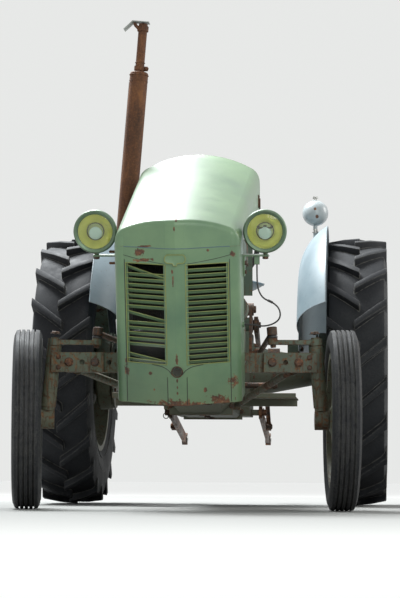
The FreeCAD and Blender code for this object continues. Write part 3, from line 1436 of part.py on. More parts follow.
front_wheel("left", 1)
front_wheel("right", -1)
rear_wheel("left", 1)
rear_wheel("right", -1)
axle_beam()
save("axle_arms", Part.makeCompound([axle_arm(1), axle_arm(-1)]))
for side_name, side_sign in SIDES:
    stub_axle(side_name, side_sign)
    drag_link(side_name, side_sign)
    drop_arm(side_name, side_sign)
    louvres(side_name, side_sign)
    lower_link(side_name, side_sign)
    save("fender_" + side_name, fender(side_sign))
steering_box()
steering_wheel()
bonnet_top()
nose_shell()
headlamps()
lamp_lead()
front_support()
radiator()
radiator_hoses()
fan()
engine()
engine_fittings()
manifold()
air_intake()
exhaust_stack()
rain_cap()
fuel_tank()
dash()
pedals()
levers()
transmission()
rear_axle()
lift_end = lift_arms()
lift_rod("left", 1, lift_end)
lift_rod("right", -1, lift_end)
radius_rods()
work_lamp()
seat()
footrests()
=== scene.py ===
# Small grey farm tractor with its bonnet tipped forward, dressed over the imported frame.
import bpy
import json
import math
from mathutils import Matrix, Vector


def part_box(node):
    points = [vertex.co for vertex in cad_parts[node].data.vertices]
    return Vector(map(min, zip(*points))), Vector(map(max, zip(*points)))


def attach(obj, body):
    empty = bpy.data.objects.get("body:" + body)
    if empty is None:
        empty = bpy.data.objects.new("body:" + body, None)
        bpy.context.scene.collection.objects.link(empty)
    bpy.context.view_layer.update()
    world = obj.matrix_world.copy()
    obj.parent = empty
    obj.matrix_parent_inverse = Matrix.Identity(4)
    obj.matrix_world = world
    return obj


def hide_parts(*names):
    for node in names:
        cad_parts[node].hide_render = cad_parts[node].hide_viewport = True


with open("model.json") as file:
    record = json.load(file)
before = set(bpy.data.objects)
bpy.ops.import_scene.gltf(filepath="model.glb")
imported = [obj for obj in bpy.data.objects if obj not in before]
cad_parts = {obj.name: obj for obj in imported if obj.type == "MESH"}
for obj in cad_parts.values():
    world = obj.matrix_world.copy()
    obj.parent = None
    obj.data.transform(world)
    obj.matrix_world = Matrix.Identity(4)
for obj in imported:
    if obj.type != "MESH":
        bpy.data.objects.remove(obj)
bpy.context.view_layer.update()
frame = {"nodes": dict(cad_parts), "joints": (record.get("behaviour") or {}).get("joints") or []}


def nodeBox(name):
    low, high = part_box(name)
    return Vector(low), Vector(high)


def nodeMiddle(name):
    low, high = nodeBox(name)
    return (low + high) / 2


frontAxle = nodeMiddle("axle_beam").y      # every place along the tractor starts from an axle
rearAxle = nodeMiddle("rear_rim_left").y
joints = {joint["name"]: joint for joint in frame["joints"]}


# camera, floor and light

cameraSet = {"distance": 8.466, "height": 0.122, "yaw": 4.81, "pan": -0.40, "pitch": 4.69, "roll": 0.38,
             "focalPixels": 2186.7, "longSide": 598, "sensor": 36.0}


def makeCamera():
    yaw, pan, pitch, roll = (math.radians(cameraSet[key]) for key in ("yaw", "pan", "pitch", "roll"))
    aim = yaw + pan
    spot = Vector((cameraSet["distance"] * math.sin(yaw), frontAxle - cameraSet["distance"] * math.cos(yaw),
                   cameraSet["height"]))
    forward = Vector((-math.sin(aim) * math.cos(pitch), math.cos(aim) * math.cos(pitch), math.sin(pitch)))
    level = Vector((math.cos(aim), math.sin(aim), 0))
    above = level.cross(forward)
    right = level * math.cos(roll) + above * math.sin(roll)
    up = above * math.cos(roll) - level * math.sin(roll)
    bpy.ops.object.camera_add()
    camera = bpy.context.object
    camera.name = "camera"
    camera.matrix_world = Matrix(((right.x, up.x, -forward.x, spot.x), (right.y, up.y, -forward.y, spot.y),
                                  (right.z, up.z, -forward.z, spot.z), (0, 0, 0, 1)))
    camera.data.sensor_width = cameraSet["sensor"]
    camera.data.lens = cameraSet["focalPixels"] * cameraSet["sensor"] / cameraSet["longSide"]
    camera.data.clip_end = 200
    bpy.context.scene.camera = camera


makeCamera()

floorSet = {"half": 60.0, "colour": (0.30, 0.30, 0.29, 1), "seen": (0.80, 0.81, 0.80, 1), "fadeFrom": 1.5,
            "fadeTo": 6.0, "glow": (0.662, 0.667, 0.659, 1)}
lightSet = {"sky": 0.50,
            "lamps": (("topSoftbox", (-1.5, 1.6, 4.8), 2.2, 700, (0.94, 0.98, 1.0)),
                      ("frontFill", (2.4, -6.2, 2.6), 3.0, 125, (0.95, 1.0, 0.95)),
                      ("leftRim", (5.0, 1.8, 3.2), 2.4, 130, (1.0, 0.98, 0.95)))}


def fillIn(tree, node, values):                # another node's socket becomes a link, anything else a value
    for key, value in values.items():
        if isinstance(value, bpy.types.NodeSocket):
            tree.links.new(value, node.inputs[key])
        else:
            node.inputs[key].default_value = value
    return node


def put(tree, kind, values=None, **settings):
    node = tree.nodes.new("ShaderNode" + kind)
    for key, value in settings.items():
        setattr(node, key, value)
    return fillIn(tree, node, values or {})


def calc(tree, operation, a, b):
    return put(tree, "Math", {0: a, 1: b}, operation=operation).outputs[0]


def plus(tree, a, b):
    return calc(tree, "ADD", a, b)


def less(tree, a, b):
    return calc(tree, "SUBTRACT", a, b)


def times(tree, a, b):
    return calc(tree, "MULTIPLY", a, b)


def larger(tree, a, b):
    return calc(tree, "MAXIMUM", a, b)


def blendColour(tree, factor, a, b):
    return put(tree, "Mix", {0: factor, 6: a, 7: b}, data_type="RGBA").outputs[2]


def spread(tree, value, low, high, toLow=0.0, toHigh=1.0):
    return put(tree, "MapRange", {"Value": value, "From Min": low, "From Max": high, "To Min": toLow,
                                  "To Max": toHigh}).outputs[0]


def noiseAt(tree, vector, scale, detail=4.0, rough=0.55, distortion=0.0):
    return put(tree, "TexNoise", {"Vector": vector, "Scale": scale, "Detail": detail, "Roughness": rough,
                                  "Distortion": distortion}).outputs[0]


def stretched(tree, vector, scale):
    return put(tree, "Mapping", {"Vector": vector, "Scale": scale}).outputs[0]


def makeFloor():
    bpy.ops.mesh.primitive_plane_add(size=floorSet["half"] * 2, location=(0, 0, 0))
    floor = bpy.context.object
    floor.name = "floor"
    material = bpy.data.materials.new("paleFloor")
    material.use_nodes = True
    tree = material.node_tree
    vector = put(tree, "TexCoord").outputs["Object"]
    far = put(tree, "VectorMath", {0: vector}, operation="LENGTH").outputs["Value"]
    fillIn(tree, tree.nodes["Principled BSDF"], {
        "Base Color": floorSet["colour"], "Emission Color": floorSet["glow"],
        "Emission Strength": spread(tree, far, floorSet["fadeFrom"], floorSet["fadeTo"]),
        "Roughness": 0.9, "Specular IOR Level": 0.1})
    floor.data.materials.append(material)


def makeLight():
    world = bpy.data.worlds.new("studio")
    world.use_nodes = True
    bpy.context.scene.world = world
    tree = world.node_tree
    tree.nodes.clear()
    path = put(tree, "LightPath")
    seen = larger(tree, path.outputs["Is Camera Ray"], path.outputs["Is Glossy Ray"])
    seen = larger(tree, seen, path.outputs["Is Transmission Ray"])
    soft = put(tree, "Background", {"Color": (0.92, 0.96, 1.0, 1), "Strength": lightSet["sky"]})
    pale = put(tree, "Background", {"Color": floorSet["seen"], "Strength": 1.0})
    either = put(tree, "MixShader", {0: seen, 1: soft.outputs[0], 2: pale.outputs[0]})
    put(tree, "OutputWorld", {"Surface": either.outputs[0]})
    for name, place, size, power, colour in lightSet["lamps"]:
        bpy.ops.object.light_add(type="AREA", location=place)
        lamp = bpy.context.object
        lamp.name = name
        lamp.data.size = size
        lamp.data.energy = power
        lamp.data.color = colour
        lamp.rotation_euler = (Vector((0, 0, 0.8)) - Vector(place)).to_track_quat("-Z", "Y").to_euler()


makeFloor()
makeLight()
bpy.context.scene.view_settings.view_transform = "Standard"
print("camera, floor and light")


# shader groups, each built once and placed in the materials with its own values

def newGroup(name, inputs, outputs):
    tree = bpy.data.node_groups.new(name, "ShaderNodeTree")
    for label, kind, value in inputs:
        socket = tree.interface.new_socket(name=label, in_out="INPUT", socket_type="NodeSocket" + kind)
        if value is not None:
            socket.default_value = value
    for label, kind in outputs:
        tree.interface.new_socket(name=label, in_out="OUTPUT", socket_type="NodeSocket" + kind)
    start = tree.nodes.new("NodeGroupInput")
    end = tree.nodes.new("NodeGroupOutput")
    return tree, start.outputs, end.inputs


def makeEdgeWear():
    tree, given, out = newGroup("edgeWear", [("Vector", "Vector", None), ("Radius", "Float", 0.004),
                                             ("Scale", "Float", 60.0), ("Amount", "Float", 0.6)],
                                [("Mask", "Float")])
    around = put(tree, "Bevel", {"Radius": given["Radius"]}, samples=4).outputs[0]
    flat = put(tree, "NewGeometry").outputs["Normal"]
    turned = put(tree, "VectorMath", {0: around, 1: flat}, operation="DOT_PRODUCT").outputs["Value"]
    edge = spread(tree, turned, 0.985, 0.85)
    broken = noiseAt(tree, given["Vector"], given["Scale"], 6, 0.65)
    worn = plus(tree, edge, times(tree, less(tree, broken, 0.62), 2.2))
    tree.links.new(times(tree, spread(tree, worn, 0.35, 0.75), given["Amount"]), out["Mask"])
    return tree


def makeRustSpots():
    tree, given, out = newGroup("rustSpots", [("Vector", "Vector", None), ("Scale", "Float", 9.0),
                                              ("Cover", "Float", 0.3), ("Runs", "Float", 0.5)],
                                [("Mask", "Float")])
    blots = noiseAt(tree, given["Vector"], given["Scale"], 8, 0.68, 0.4)
    specks = noiseAt(tree, given["Vector"], times(tree, given["Scale"], 9.0), 4, 0.6)
    runs = noiseAt(tree, stretched(tree, given["Vector"], (14, 14, 1.1)), given["Scale"], 3, 0.6)
    level = less(tree, 0.86, times(tree, given["Cover"], 0.5))
    high = plus(tree, level, 0.07)
    blots = spread(tree, blots, level, high)
    specks = times(tree, spread(tree, specks, less(tree, level, 0.02), high), 0.8)
    runs = times(tree, spread(tree, runs, less(tree, level, 0.04), high), given["Runs"])
    tree.links.new(larger(tree, larger(tree, blots, specks), runs), out["Mask"])
    return tree


def makePatch():
    tree, given, out = newGroup("patch", [("Vector", "Vector", None), ("Centre", "Vector", (0, 0, 0)),
                                          ("Size", "Vector", (0.1, 0.1, 0.1)), ("Ragged", "Float", 0.6),
                                          ("Grain", "Float", 0.5)], [("Mask", "Float")])
    away = put(tree, "VectorMath", {0: given["Vector"], 1: given["Centre"]}, operation="SUBTRACT").outputs[0]
    away = put(tree, "VectorMath", {0: away, 1: given["Size"]}, operation="DIVIDE").outputs[0]
    far = put(tree, "VectorMath", {0: away}, operation="LENGTH").outputs["Value"]
    ragged = times(tree, less(tree, given["Grain"], 0.5), times(tree, given["Ragged"], 4.0))
    tree.links.new(spread(tree, plus(tree, far, ragged), 1.0, 0.72), out["Mask"])
    return tree


def makeSoil():
    tree, given, out = newGroup("soil", [("Vector", "Vector", None), ("Height", "Float", 0.6),
                                         ("Fade", "Float", 0.4), ("Amount", "Float", 0.7)],
                                [("Mask", "Float"), ("Tops", "Float")])
    height = put(tree, "SeparateXYZ", {0: given["Vector"]}).outputs[2]
    wander = times(tree, less(tree, noiseAt(tree, given["Vector"], 7, 6, 0.65), 0.5), 0.5)
    near = spread(tree, plus(tree, height, wander), given["Height"],
                  less(tree, given["Height"], given["Fade"]))
    tree.links.new(times(tree, near, given["Amount"]), out["Mask"])
    upward = put(tree, "SeparateXYZ", {0: put(tree, "NewGeometry").outputs["Normal"]}).outputs[2]
    grain = noiseAt(tree, given["Vector"], 35, 5, 0.6)
    tops = times(tree, spread(tree, upward, 0.35, 0.95), spread(tree, grain, 0.25, 0.65))
    tree.links.new(times(tree, tops, given["Amount"]), out["Tops"])
    return tree


def makeSkin():
    tree, given, out = newGroup("skin", [("Vector", "Vector", None), ("Grain", "Float", 300.0),
                                         ("Wave", "Float", 3.0), ("Depth", "Float", 0.5)],
                                [("Height", "Float"), ("Cloud", "Float")])
    cloud = noiseAt(tree, given["Vector"], given["Wave"], 5, 0.6)
    fine = noiseAt(tree, given["Vector"], given["Grain"], 2, 0.5)
    height = plus(tree, cloud, times(tree, fine, given["Depth"]))
    tree.links.new(height, out["Height"])
    tree.links.new(cloud, out["Cloud"])
    return tree


groups = {"edgeWear": makeEdgeWear(), "rustSpots": makeRustSpots(), "patch": makePatch(), "soil": makeSoil(),
          "skin": makeSkin()}


def grouped(tree, name, values):
    node = tree.nodes.new("ShaderNodeGroup")
    node.node_tree = groups[name]
    return fillIn(tree, node, values)


def newMaterial(name):
    material = bpy.data.materials.new(name)
    material.use_nodes = True
    tree = material.node_tree
    return material, tree, tree.nodes["Principled BSDF"], put(tree, "TexCoord").outputs["Object"]


rust = {"dark": (0.038, 0.018, 0.011, 1), "mid": (0.115, 0.046, 0.021, 1), "bright": (0.27, 0.112, 0.040, 1)}
soilBrown = (0.115, 0.083, 0.052, 1)


def bumped(tree, strength, distance, height):
    return put(tree, "Bump", {"Strength": strength, "Distance": distance, "Height": height}).outputs[0]


def rustColour(tree, vector, scale):
    ramp = put(tree, "ValToRGB", {0: noiseAt(tree, vector, scale, 8, 0.7)})
    ramp.color_ramp.elements[0].position = 0.34
    ramp.color_ramp.elements[0].color = rust["dark"]
    ramp.color_ramp.elements[1].position = 0.68
    ramp.color_ramp.elements[1].color = rust["bright"]
    ramp.color_ramp.elements.new(0.52).color = rust["mid"]
    return ramp.outputs[0]


# paint of the sheet metal and castings: name, colours, cover of rust, wear, soil

paintSet = {
    # sheet metal: its own green paint, darkened and made greener as painted shade and painted green bounce
    # light from grass
    "sheetPaintShadedGreen": {"low": (0.088, 0.170, 0.094, 1), "high": (0.150, 0.248, 0.126, 1), "rustCover": 0.10,
                   "runs": 0.35,
                   "wear": 0.55, "wearRadius": 0.004, "soil": 0.35, "soilTop": 0.62, "rough": 0.40,
                   "coat": 0.3,
                   "tops": 0.15, "bump": 0.05},
    "castPaint": {"low": (0.055, 0.085, 0.062, 1), "high": (0.105, 0.145, 0.10, 1), "rustCover": 0.42,
                  "runs": 0.5,
                  "wear": 0.75, "wearRadius": 0.006, "soil": 0.55, "soilTop": 0.95, "rough": 0.62,
                  "coat": 0.0,
                  "tops": 0.5, "bump": 0.35},
    "axlePaint": {"low": (0.050, 0.080, 0.058, 1), "high": (0.105, 0.145, 0.100, 1), "rustCover": 0.62,
                  "runs": 0.7,
                  "wear": 0.95, "wearRadius": 0.005, "soil": 0.6, "soilTop": 0.75, "rough": 0.6, "coat": 0.0,
                  "tops": 0.45, "bump": 0.25},
    "wheelPaint": {"low": (0.09, 0.13, 0.095, 1), "high": (0.16, 0.21, 0.145, 1), "rustCover": 0.55,
                   "runs": 0.4,
                   "wear": 0.8, "wearRadius": 0.004, "soil": 0.6, "soilTop": 0.9, "rough": 0.55, "coat": 0.0,
                   "tops": 0.3, "bump": 0.15},
    # fenders and seat: the paint's own colour tinted blue as a painted sky reflection
    "panelPaintSkyReflection": {"low": (0.135, 0.19, 0.22, 1), "high": (0.22, 0.28, 0.31, 1), "rustCover": 0.35,
                   "runs": 0.4,
                   "wear": 0.7, "wearRadius": 0.004, "soil": 0.3, "soilTop": 0.8, "rough": 0.45, "coat": 0.05,
                   "tops": 0.15, "bump": 0.06},
    "lampShell": {"low": (0.31, 0.35, 0.36, 1), "high": (0.39, 0.43, 0.44, 1), "rustCover": 0.05, "runs": 0.2,
                  "wear": 0.4, "wearRadius": 0.003, "soil": 0.1, "soilTop": 0.6, "rough": 0.30, "coat": 0.3,
                  "tops": 0.1, "bump": 0.04},
}


def makePaint(name, patches=()):
    chosen = paintSet[name]
    material, tree, surface, vector = newMaterial(name)
    skin = grouped(tree, "skin", {"Vector": vector, "Grain": 260.0, "Wave": 4.5, "Depth": 0.25})
    cloud = spread(tree, skin.outputs["Cloud"], 0.3, 0.7)
    colour = blendColour(tree, cloud, chosen["low"], chosen["high"])
    chalk = grouped(tree, "soil", {"Vector": vector, "Height": chosen["soilTop"], "Fade": 0.35,
                                   "Amount": chosen["soil"]})
    colour = blendColour(tree, times(tree, chalk.outputs["Mask"], 0.8), colour, soilBrown)
    colour = blendColour(tree, times(tree, chalk.outputs["Tops"], chosen["tops"]), colour,
                         (0.36, 0.33, 0.26, 1))
    wear = grouped(tree, "edgeWear", {"Vector": vector, "Radius": chosen["wearRadius"], "Scale": 55.0,
                                      "Amount": chosen["wear"]}).outputs[0]
    spots = grouped(tree, "rustSpots", {"Vector": vector, "Scale": 7.0, "Cover": chosen["rustCover"],
                                        "Runs": chosen["runs"]}).outputs[0]
    mask = larger(tree, wear, spots)
    if patches:
        grain = noiseAt(tree, vector, 55, 6, 0.7)
    for centre, size, ragged in patches:
        one = grouped(tree, "patch", {"Vector": vector, "Centre": centre, "Size": size, "Ragged": ragged,
                                      "Grain": grain}).outputs[0]
        mask = larger(tree, mask, one)
    colour = blendColour(tree, mask, colour, rustColour(tree, vector, 38))
    clean = spread(tree, skin.outputs["Cloud"], 0.3, 0.7, chosen["rough"] - 0.06, chosen["rough"] + 0.1)
    rough = plus(tree, times(tree, mask, 0.35), clean)
    pits = times(tree, mask, noiseAt(tree, vector, 420, 3, 0.6))
    height = less(tree, times(tree, skin.outputs["Height"], chosen["bump"]), times(tree, pits, 0.5))
    fillIn(tree, surface, {"Base Color": colour, "Roughness": calc(tree, "MINIMUM", rough, 0.95),
                           "Coat Weight": chosen["coat"], "Coat Roughness": 0.3,
                           "Normal": bumped(tree, 0.35, 0.003, height)})
    return material


def makeRustySteel():
    material, tree, surface, vector = newMaterial("rustySteel")
    colour = rustColour(tree, stretched(tree, vector, (1, 1, 0.35)), 16)
    fine = rustColour(tree, vector, 120)
    colour = blendColour(tree, 0.45, colour, fine)
    scale = spread(tree, noiseAt(tree, vector, 24, 6, 0.7), 0.55, 0.75)
    colour = blendColour(tree, times(tree, scale, 0.6), colour, (0.03, 0.02, 0.018, 1))
    height = plus(tree, noiseAt(tree, vector, 90, 6, 0.7), times(tree, noiseAt(tree, vector, 400, 2), 0.4))
    fillIn(tree, surface, {"Base Color": colour, "Roughness": 0.85, "Metallic": 0.15,
                           "Normal": bumped(tree, 0.5, 0.002, height)})
    return material


def makeDarkIron():
    material, tree, surface, vector = newMaterial("darkIron")
    oil = spread(tree, noiseAt(tree, vector, 14, 6, 0.65), 0.35, 0.65)
    colour = blendColour(tree, oil, (0.028, 0.025, 0.023, 1), (0.085, 0.07, 0.058, 1))
    spots = grouped(tree, "rustSpots",
                    {"Vector": vector, "Scale": 12.0, "Cover": 0.7, "Runs": 0.4}).outputs[0]
    wear = grouped(tree, "edgeWear",
                   {"Vector": vector, "Radius": 0.004, "Scale": 80.0, "Amount": 0.7}).outputs[0]
    colour = blendColour(tree, larger(tree, spots, wear), colour, rustColour(tree, vector, 60))
    fillIn(tree, surface,
           {"Base Color": colour, "Roughness": spread(tree, oil, 0, 1, 0.45, 0.8), "Metallic": 0.35,
                           "Normal": bumped(tree, 0.4, 0.002, noiseAt(tree, vector, 160, 5, 0.65))})
    return material


tyreSet = {"low": (0.005, 0.006, 0.009, 1), "high": (0.014, 0.015, 0.018, 1),
           "dust": (0.120, 0.115, 0.105, 1)}


def makeTyre(name, dusted, worn):
    material, tree, surface, vector = newMaterial(name)
    cloud = spread(tree, noiseAt(tree, vector, 9, 6, 0.65), 0.3, 0.7)
    colour = blendColour(tree, cloud, tyreSet["low"], tyreSet["high"])
    grain = noiseAt(tree, vector, 140, 5, 0.7)
    wear = grouped(tree, "edgeWear",
                   {"Vector": vector, "Radius": 0.010, "Scale": 40.0, "Amount": worn}).outputs[0]
    drift = spread(tree, noiseAt(tree, vector, 5, 5, 0.6), 0.35, 0.6, 0.15, 0.75)
    dusty = times(tree, spread(tree, grain, 0.42, 0.62), drift)
    colour = blendColour(tree, larger(tree, times(tree, dusty, dusted), wear), colour, tyreSet["dust"])
    height = plus(tree, times(tree, grain, 0.3), times(tree, noiseAt(tree, vector, 500, 2), 0.2))
    fillIn(tree, surface, {"Base Color": colour, "Roughness": spread(tree, cloud, 0, 1, 0.62, 0.86),
                           "Specular IOR Level": 0.35, "Normal": bumped(tree, 0.3, 0.002, height)})
    return material


def makeSimple(name, colour, rough, metal, dirt, grain=200.0, bumpStrength=0.15):
    material, tree, surface, vector = newMaterial(name)
    cloud = spread(tree, noiseAt(tree, vector, 12, 6, 0.65), 0.35, 0.7)
    dirty = tuple(channel * 0.45 + soil * 0.35 for channel, soil in zip(colour[:3], soilBrown[:3])) + (1,)
    fillIn(tree, surface, {"Base Color": blendColour(tree, times(tree, cloud, dirt), colour, dirty),
                           "Roughness": spread(tree, cloud, 0, 1, rough, min(1.0, rough + 0.2)),
                           "Metallic": metal,
                           "Normal": bumped(tree, bumpStrength, 0.001, noiseAt(tree, vector, grain, 4, 0.6))})
    return material


def makeLens():
    material, tree, surface, vector = newMaterial("yellowLens")
    flutes = put(tree, "TexWave", {"Vector": vector, "Scale": 26.0, "Distortion": 0.0}, wave_type="BANDS",
                 bands_direction="X").outputs["Fac"]
    fillIn(tree, surface, {"Base Color": (0.98, 1.0, 0.84, 1), "Roughness": 0.04, "Transmission Weight": 1.0,
                           "IOR": 1.45, "Normal": bumped(tree, 0.12, 0.002, flutes)})
    return material


# rust on the nose's face: across, height before tipping, half width, half height in millimetres, raggedness
noseRust = ((-138, 984, 21, 14, 0.7), (-122, 956, 46, 7, 0.8), (-118, 1007, 26, 4, 0.5),
            (119, 992, 6, 6, 0.2),
            (210, 982, 14, 12, 0.5), (5, 1100, 5, 8, 0.5), (-2, 1066, 4, 11, 0.5), (-12, 908, 5, 9, 0.6),
            (-9, 872, 4, 22, 0.6), (0, 578, 6, 22, 0.7), (0, 500, 4, 8, 0.3), (0, 474, 3, 6, 0.3),
            (0, 452, 4, 6, 0.3),
            (102, 466, 7, 11, 0.5), (-104, 530, 8, 7, 0.5), (-90, 468, 5, 5, 0.4), (-196, 556, 11, 46, 0.7),
            (205, 500, 22, 24, 0.9), (158, 430, 52, 22, 0.9), (30, 404, 175, 22, 0.9),
            (-150, 402, 60, 9, 0.8))
noseFold = {"hingeY": -0.240, "hingeZ": 0.450, "faceY": -0.300, "tip": 13.5, "deep": 0.14}


def foldedSpot(across, height):
    chosen = noseFold
    turn = math.radians(chosen["tip"])
    ahead, above = chosen["faceY"] - chosen["hingeY"], height / 1000 - chosen["hingeZ"]
    return (across / 1000, frontAxle + chosen["hingeY"] + ahead * math.cos(turn) - above * math.sin(turn),
            chosen["hingeZ"] + ahead * math.sin(turn) + above * math.cos(turn))


nosePatches = [(foldedSpot(x, z), (wide / 1000, noseFold["deep"], high / 1000), ragged)
               for x, z, wide, high, ragged in noseRust]
lampPatches = [((0.462, rearAxle - 0.018, 1.386), (0.007, 0.03, 0.008), 0.3),
               ((0.471, rearAxle - 0.014, 1.349), (0.008, 0.03, 0.009), 0.3)]
patchesOf = {"sheetPaintShadedGreen": nosePatches, "lampShell": lampPatches}
materials = {name: makePaint(name, patchesOf.get(name, ())) for name in paintSet}
materials["rustySteel"] = makeRustySteel()
materials["darkIron"] = makeDarkIron()
materials["frontTyre"] = makeTyre("frontTyre", 0.42, 0.6)
materials["rearTyre"] = makeTyre("rearTyre", 0.12, 0.75)
materials["yellowLens"] = makeLens()

# colour, roughness, metal, dirt, and where they differ grain and bump
simpleSet = {
    # pale yellow-green: worn paint on the frame beads, and a painted highlight on the louvre lips
    "beadWearAndHighlight": ((0.235, 0.275, 0.085, 1), 0.5, 0.0, 0.6),
    "shieldTin": ((0.30, 0.36, 0.22, 1), 0.35, 0.3, 0.4),
    # the bulb's sky blue is a painted reflection of the sky in its glass
    "bulbSkyReflection": ((0.50, 0.66, 0.80, 1), 0.12, 0.0, 0.1),
    "clearLens": ((0.52, 0.58, 0.58, 1), 0.08, 0.2, 0.3),
    "capSheet": ((0.36, 0.38, 0.36, 1), 0.42, 0.3, 0.7),
    "brightSteel": ((0.42, 0.42, 0.41, 1), 0.3, 0.9, 0.5),
    "reflector": ((0.93, 0.94, 0.42, 1), 0.34, 0.4, 0.1, 60.0, 0.05),
    "bezel": ((0.13, 0.20, 0.13, 1), 0.34, 0.4, 0.5),
    "blackCase": ((0.022, 0.022, 0.024, 1), 0.42, 0.0, 0.5),
    "radiatorBlack": ((0.014, 0.014, 0.014, 1), 0.6, 0.0, 0.4),
    "cableBlack": ((0.012, 0.012, 0.013, 1), 0.38, 0.0, 0.3),
    # the brow crease: a dark seam with a painted bluish sky reflection along it
    "creaseSeamAndSkyReflection": ((0.085, 0.15, 0.18, 1), 0.4, 0.0, 0.4),
    "plugWhite": ((0.62, 0.60, 0.55, 1), 0.25, 0.0, 0.4),
    "gaugeFace": ((0.012, 0.012, 0.014, 1), 0.5, 0.0, 0.2),
    "batteryLid": ((0.03, 0.03, 0.032, 1), 0.5, 0.0, 0.5),
}
for name, chosen in simpleSet.items():
    materials[name] = makeSimple(name, *chosen)

finishOf = {
    "sheetPaintShadedGreen": ("bonnet_top", "nose_shell", "louvres_left", "louvres_right", "headlamps", "lamp_brackets"),
    "castPaint": ("engine_block", "cylinder_head", "clutch_housing", "gearbox", "rear_axle", "lift_cover",
                  "front_support", "steering_box", "fuel_tank", "dash", "footrests", "engine_fittings",
                  "air_intake"),
    "axlePaint": ("axle_beam", "axle_arms", "stub_axle_left", "stub_axle_right", "radius_rods"),
    "wheelPaint": ("front_rim_left", "front_rim_right", "rear_rim_left", "rear_rim_right", "rear_hub_left",
                   "rear_hub_right"),
    "panelPaintSkyReflection": ("fender_left", "fender_right", "seat_pan"),
    "rustySteel": ("exhaust_stack", "manifold"),
    "frontTyre": ("front_tyre_left", "front_tyre_right"),
    "rearTyre": ("rear_tyre_left", "rear_tyre_right"),
    "yellowLens": ("headlamp_glass",),
    "capSheet": ("rain_cap",),
    "lampShell": ("work_lamp",),
    "blackCase": ("battery", "steering_wheel"),
    "radiatorBlack": ("radiator",),
    "cableBlack": ("lamp_lead", "radiator_hoses"),
}
finishFor = {node: name for name, nodes in finishOf.items() for node in nodes}


def dressNodes():
    for name in frame["nodes"]:
        node = bpy.data.objects[name]
        node.data.materials.clear()
        node.data.materials.append(materials[finishFor.get(name, "darkIron")])


dressNodes()
print("materials on the packed nodes:", len(materials))
# shaping: pieces are modelled in millimetres, as the tractor's own drawings are, and brought to metres last

milli = 0.001
smoothBelow = 32                               # degrees between faces that are shaded as one
sideName = {1: "left", -1: "right"}            # the tractor's own left is +X


def fromFront(x, y, z):
    # a place in millimetres, y behind the front axle
    return Vector((x, y + frontAxle / milli, z))


def fromRear(x, y, z):
    return Vector((x, y + rearAxle / milli, z))


def selectOnly(*chosen):
    if bpy.context.object and bpy.context.object.mode != "OBJECT":
        bpy.ops.object.mode_set(mode="OBJECT")
    bpy.ops.object.select_all(action="DESELECT")
    for piece in chosen:
        piece.select_set(True)
    if chosen:
        bpy.context.view_layer.objects.active = chosen[0]


def editAll(piece):
    selectOnly(piece)
    bpy.ops.object.mode_set(mode="EDIT")
    bpy.ops.mesh.select_mode(type="VERT")
    bpy.ops.mesh.select_all(action="SELECT")


def outwards(piece, merge=0.01):
    editAll(piece)
    bpy.ops.mesh.remove_doubles(threshold=merge)
    bpy.ops.mesh.normals_make_consistent(inside=False)
    bpy.ops.object.mode_set(mode="OBJECT")
    return piece


def modified(piece, kind, **settings):
    selectOnly(piece)
    modifier = piece.modifiers.new(kind.title(), kind)
    for key, value in settings.items():
        setattr(modifier, key, value)
    bpy.ops.object.modifier_apply(modifier=modifier.name)
    return piece


def bevelled(piece, width, segments=2, angle=35):
    return modified(piece, "BEVEL", width=width, segments=segments, limit_method="ANGLE",
                    angle_limit=math.radians(angle), harden_normals=False)


def moveTo(piece, place=(0, 0, 0), along=(0, 0, 1), roll=0.0):
    # turn a piece modelled along +Z to another direction and set it at its place
    turn = Vector((0, 0, 1)).rotation_difference(Vector(along).normalized())
    piece.data.transform(Matrix.Translation(Vector(place)) @ turn.to_matrix().to_4x4()
                         @ Matrix.Rotation(math.radians(roll), 4, "Z"))
    return piece


def turned(steps, sides=28, place=(0, 0, 0), along=(0, 0, 1), roll=0.0):
    # a turned piece from (height, radius) steps: a filled circle extruded and resized at each step
    selectOnly()
    height, radius = steps[0]
    bpy.ops.mesh.primitive_circle_add(vertices=sides, radius=radius, fill_type="NGON",
                                      location=(0, 0, height))
    piece = bpy.context.object
    bpy.ops.object.transform_apply(location=True, rotation=True, scale=True)
    bpy.ops.object.mode_set(mode="EDIT")
    bpy.ops.mesh.select_all(action="SELECT")
    for nextHeight, nextRadius in steps[1:]:
        bpy.ops.mesh.extrude_region_move(TRANSFORM_OT_translate={"value": (0, 0, nextHeight - height)})
        bpy.ops.transform.resize(value=(nextRadius / radius, nextRadius / radius, 1))
        height, radius = nextHeight, nextRadius
    bpy.ops.object.mode_set(mode="OBJECT")
    return moveTo(outwards(piece), place, along, roll)


def slab(low, high, bevel=1.0, segments=2):
    # a block between two corners with its edges eased
    low, high = Vector(low), Vector(high)
    selectOnly()
    bpy.ops.mesh.primitive_cube_add(size=1, location=(low + high) / 2)
    piece = bpy.context.object
    piece.scale = high - low
    bpy.ops.object.transform_apply(location=True, rotation=True, scale=True)
    return bevelled(piece, bevel, segments)


def cutOut(outline, thick, bevel):
    # a flat plate from an outline of (x, y), extruded along +Z
    selectOnly()
    bpy.ops.mesh.primitive_circle_add(vertices=len(outline), radius=1, fill_type="NGON")
    piece = bpy.context.object
    for corner, (x, y) in zip(piece.data.vertices, outline):
        corner.co = (x, y, 0)
    editAll(piece)
    bpy.ops.mesh.extrude_region_move(TRANSFORM_OT_translate={"value": (0, 0, thick)})
    bpy.ops.object.mode_set(mode="OBJECT")
    outwards(piece)
    return bevelled(piece, bevel, 1) if bevel else piece


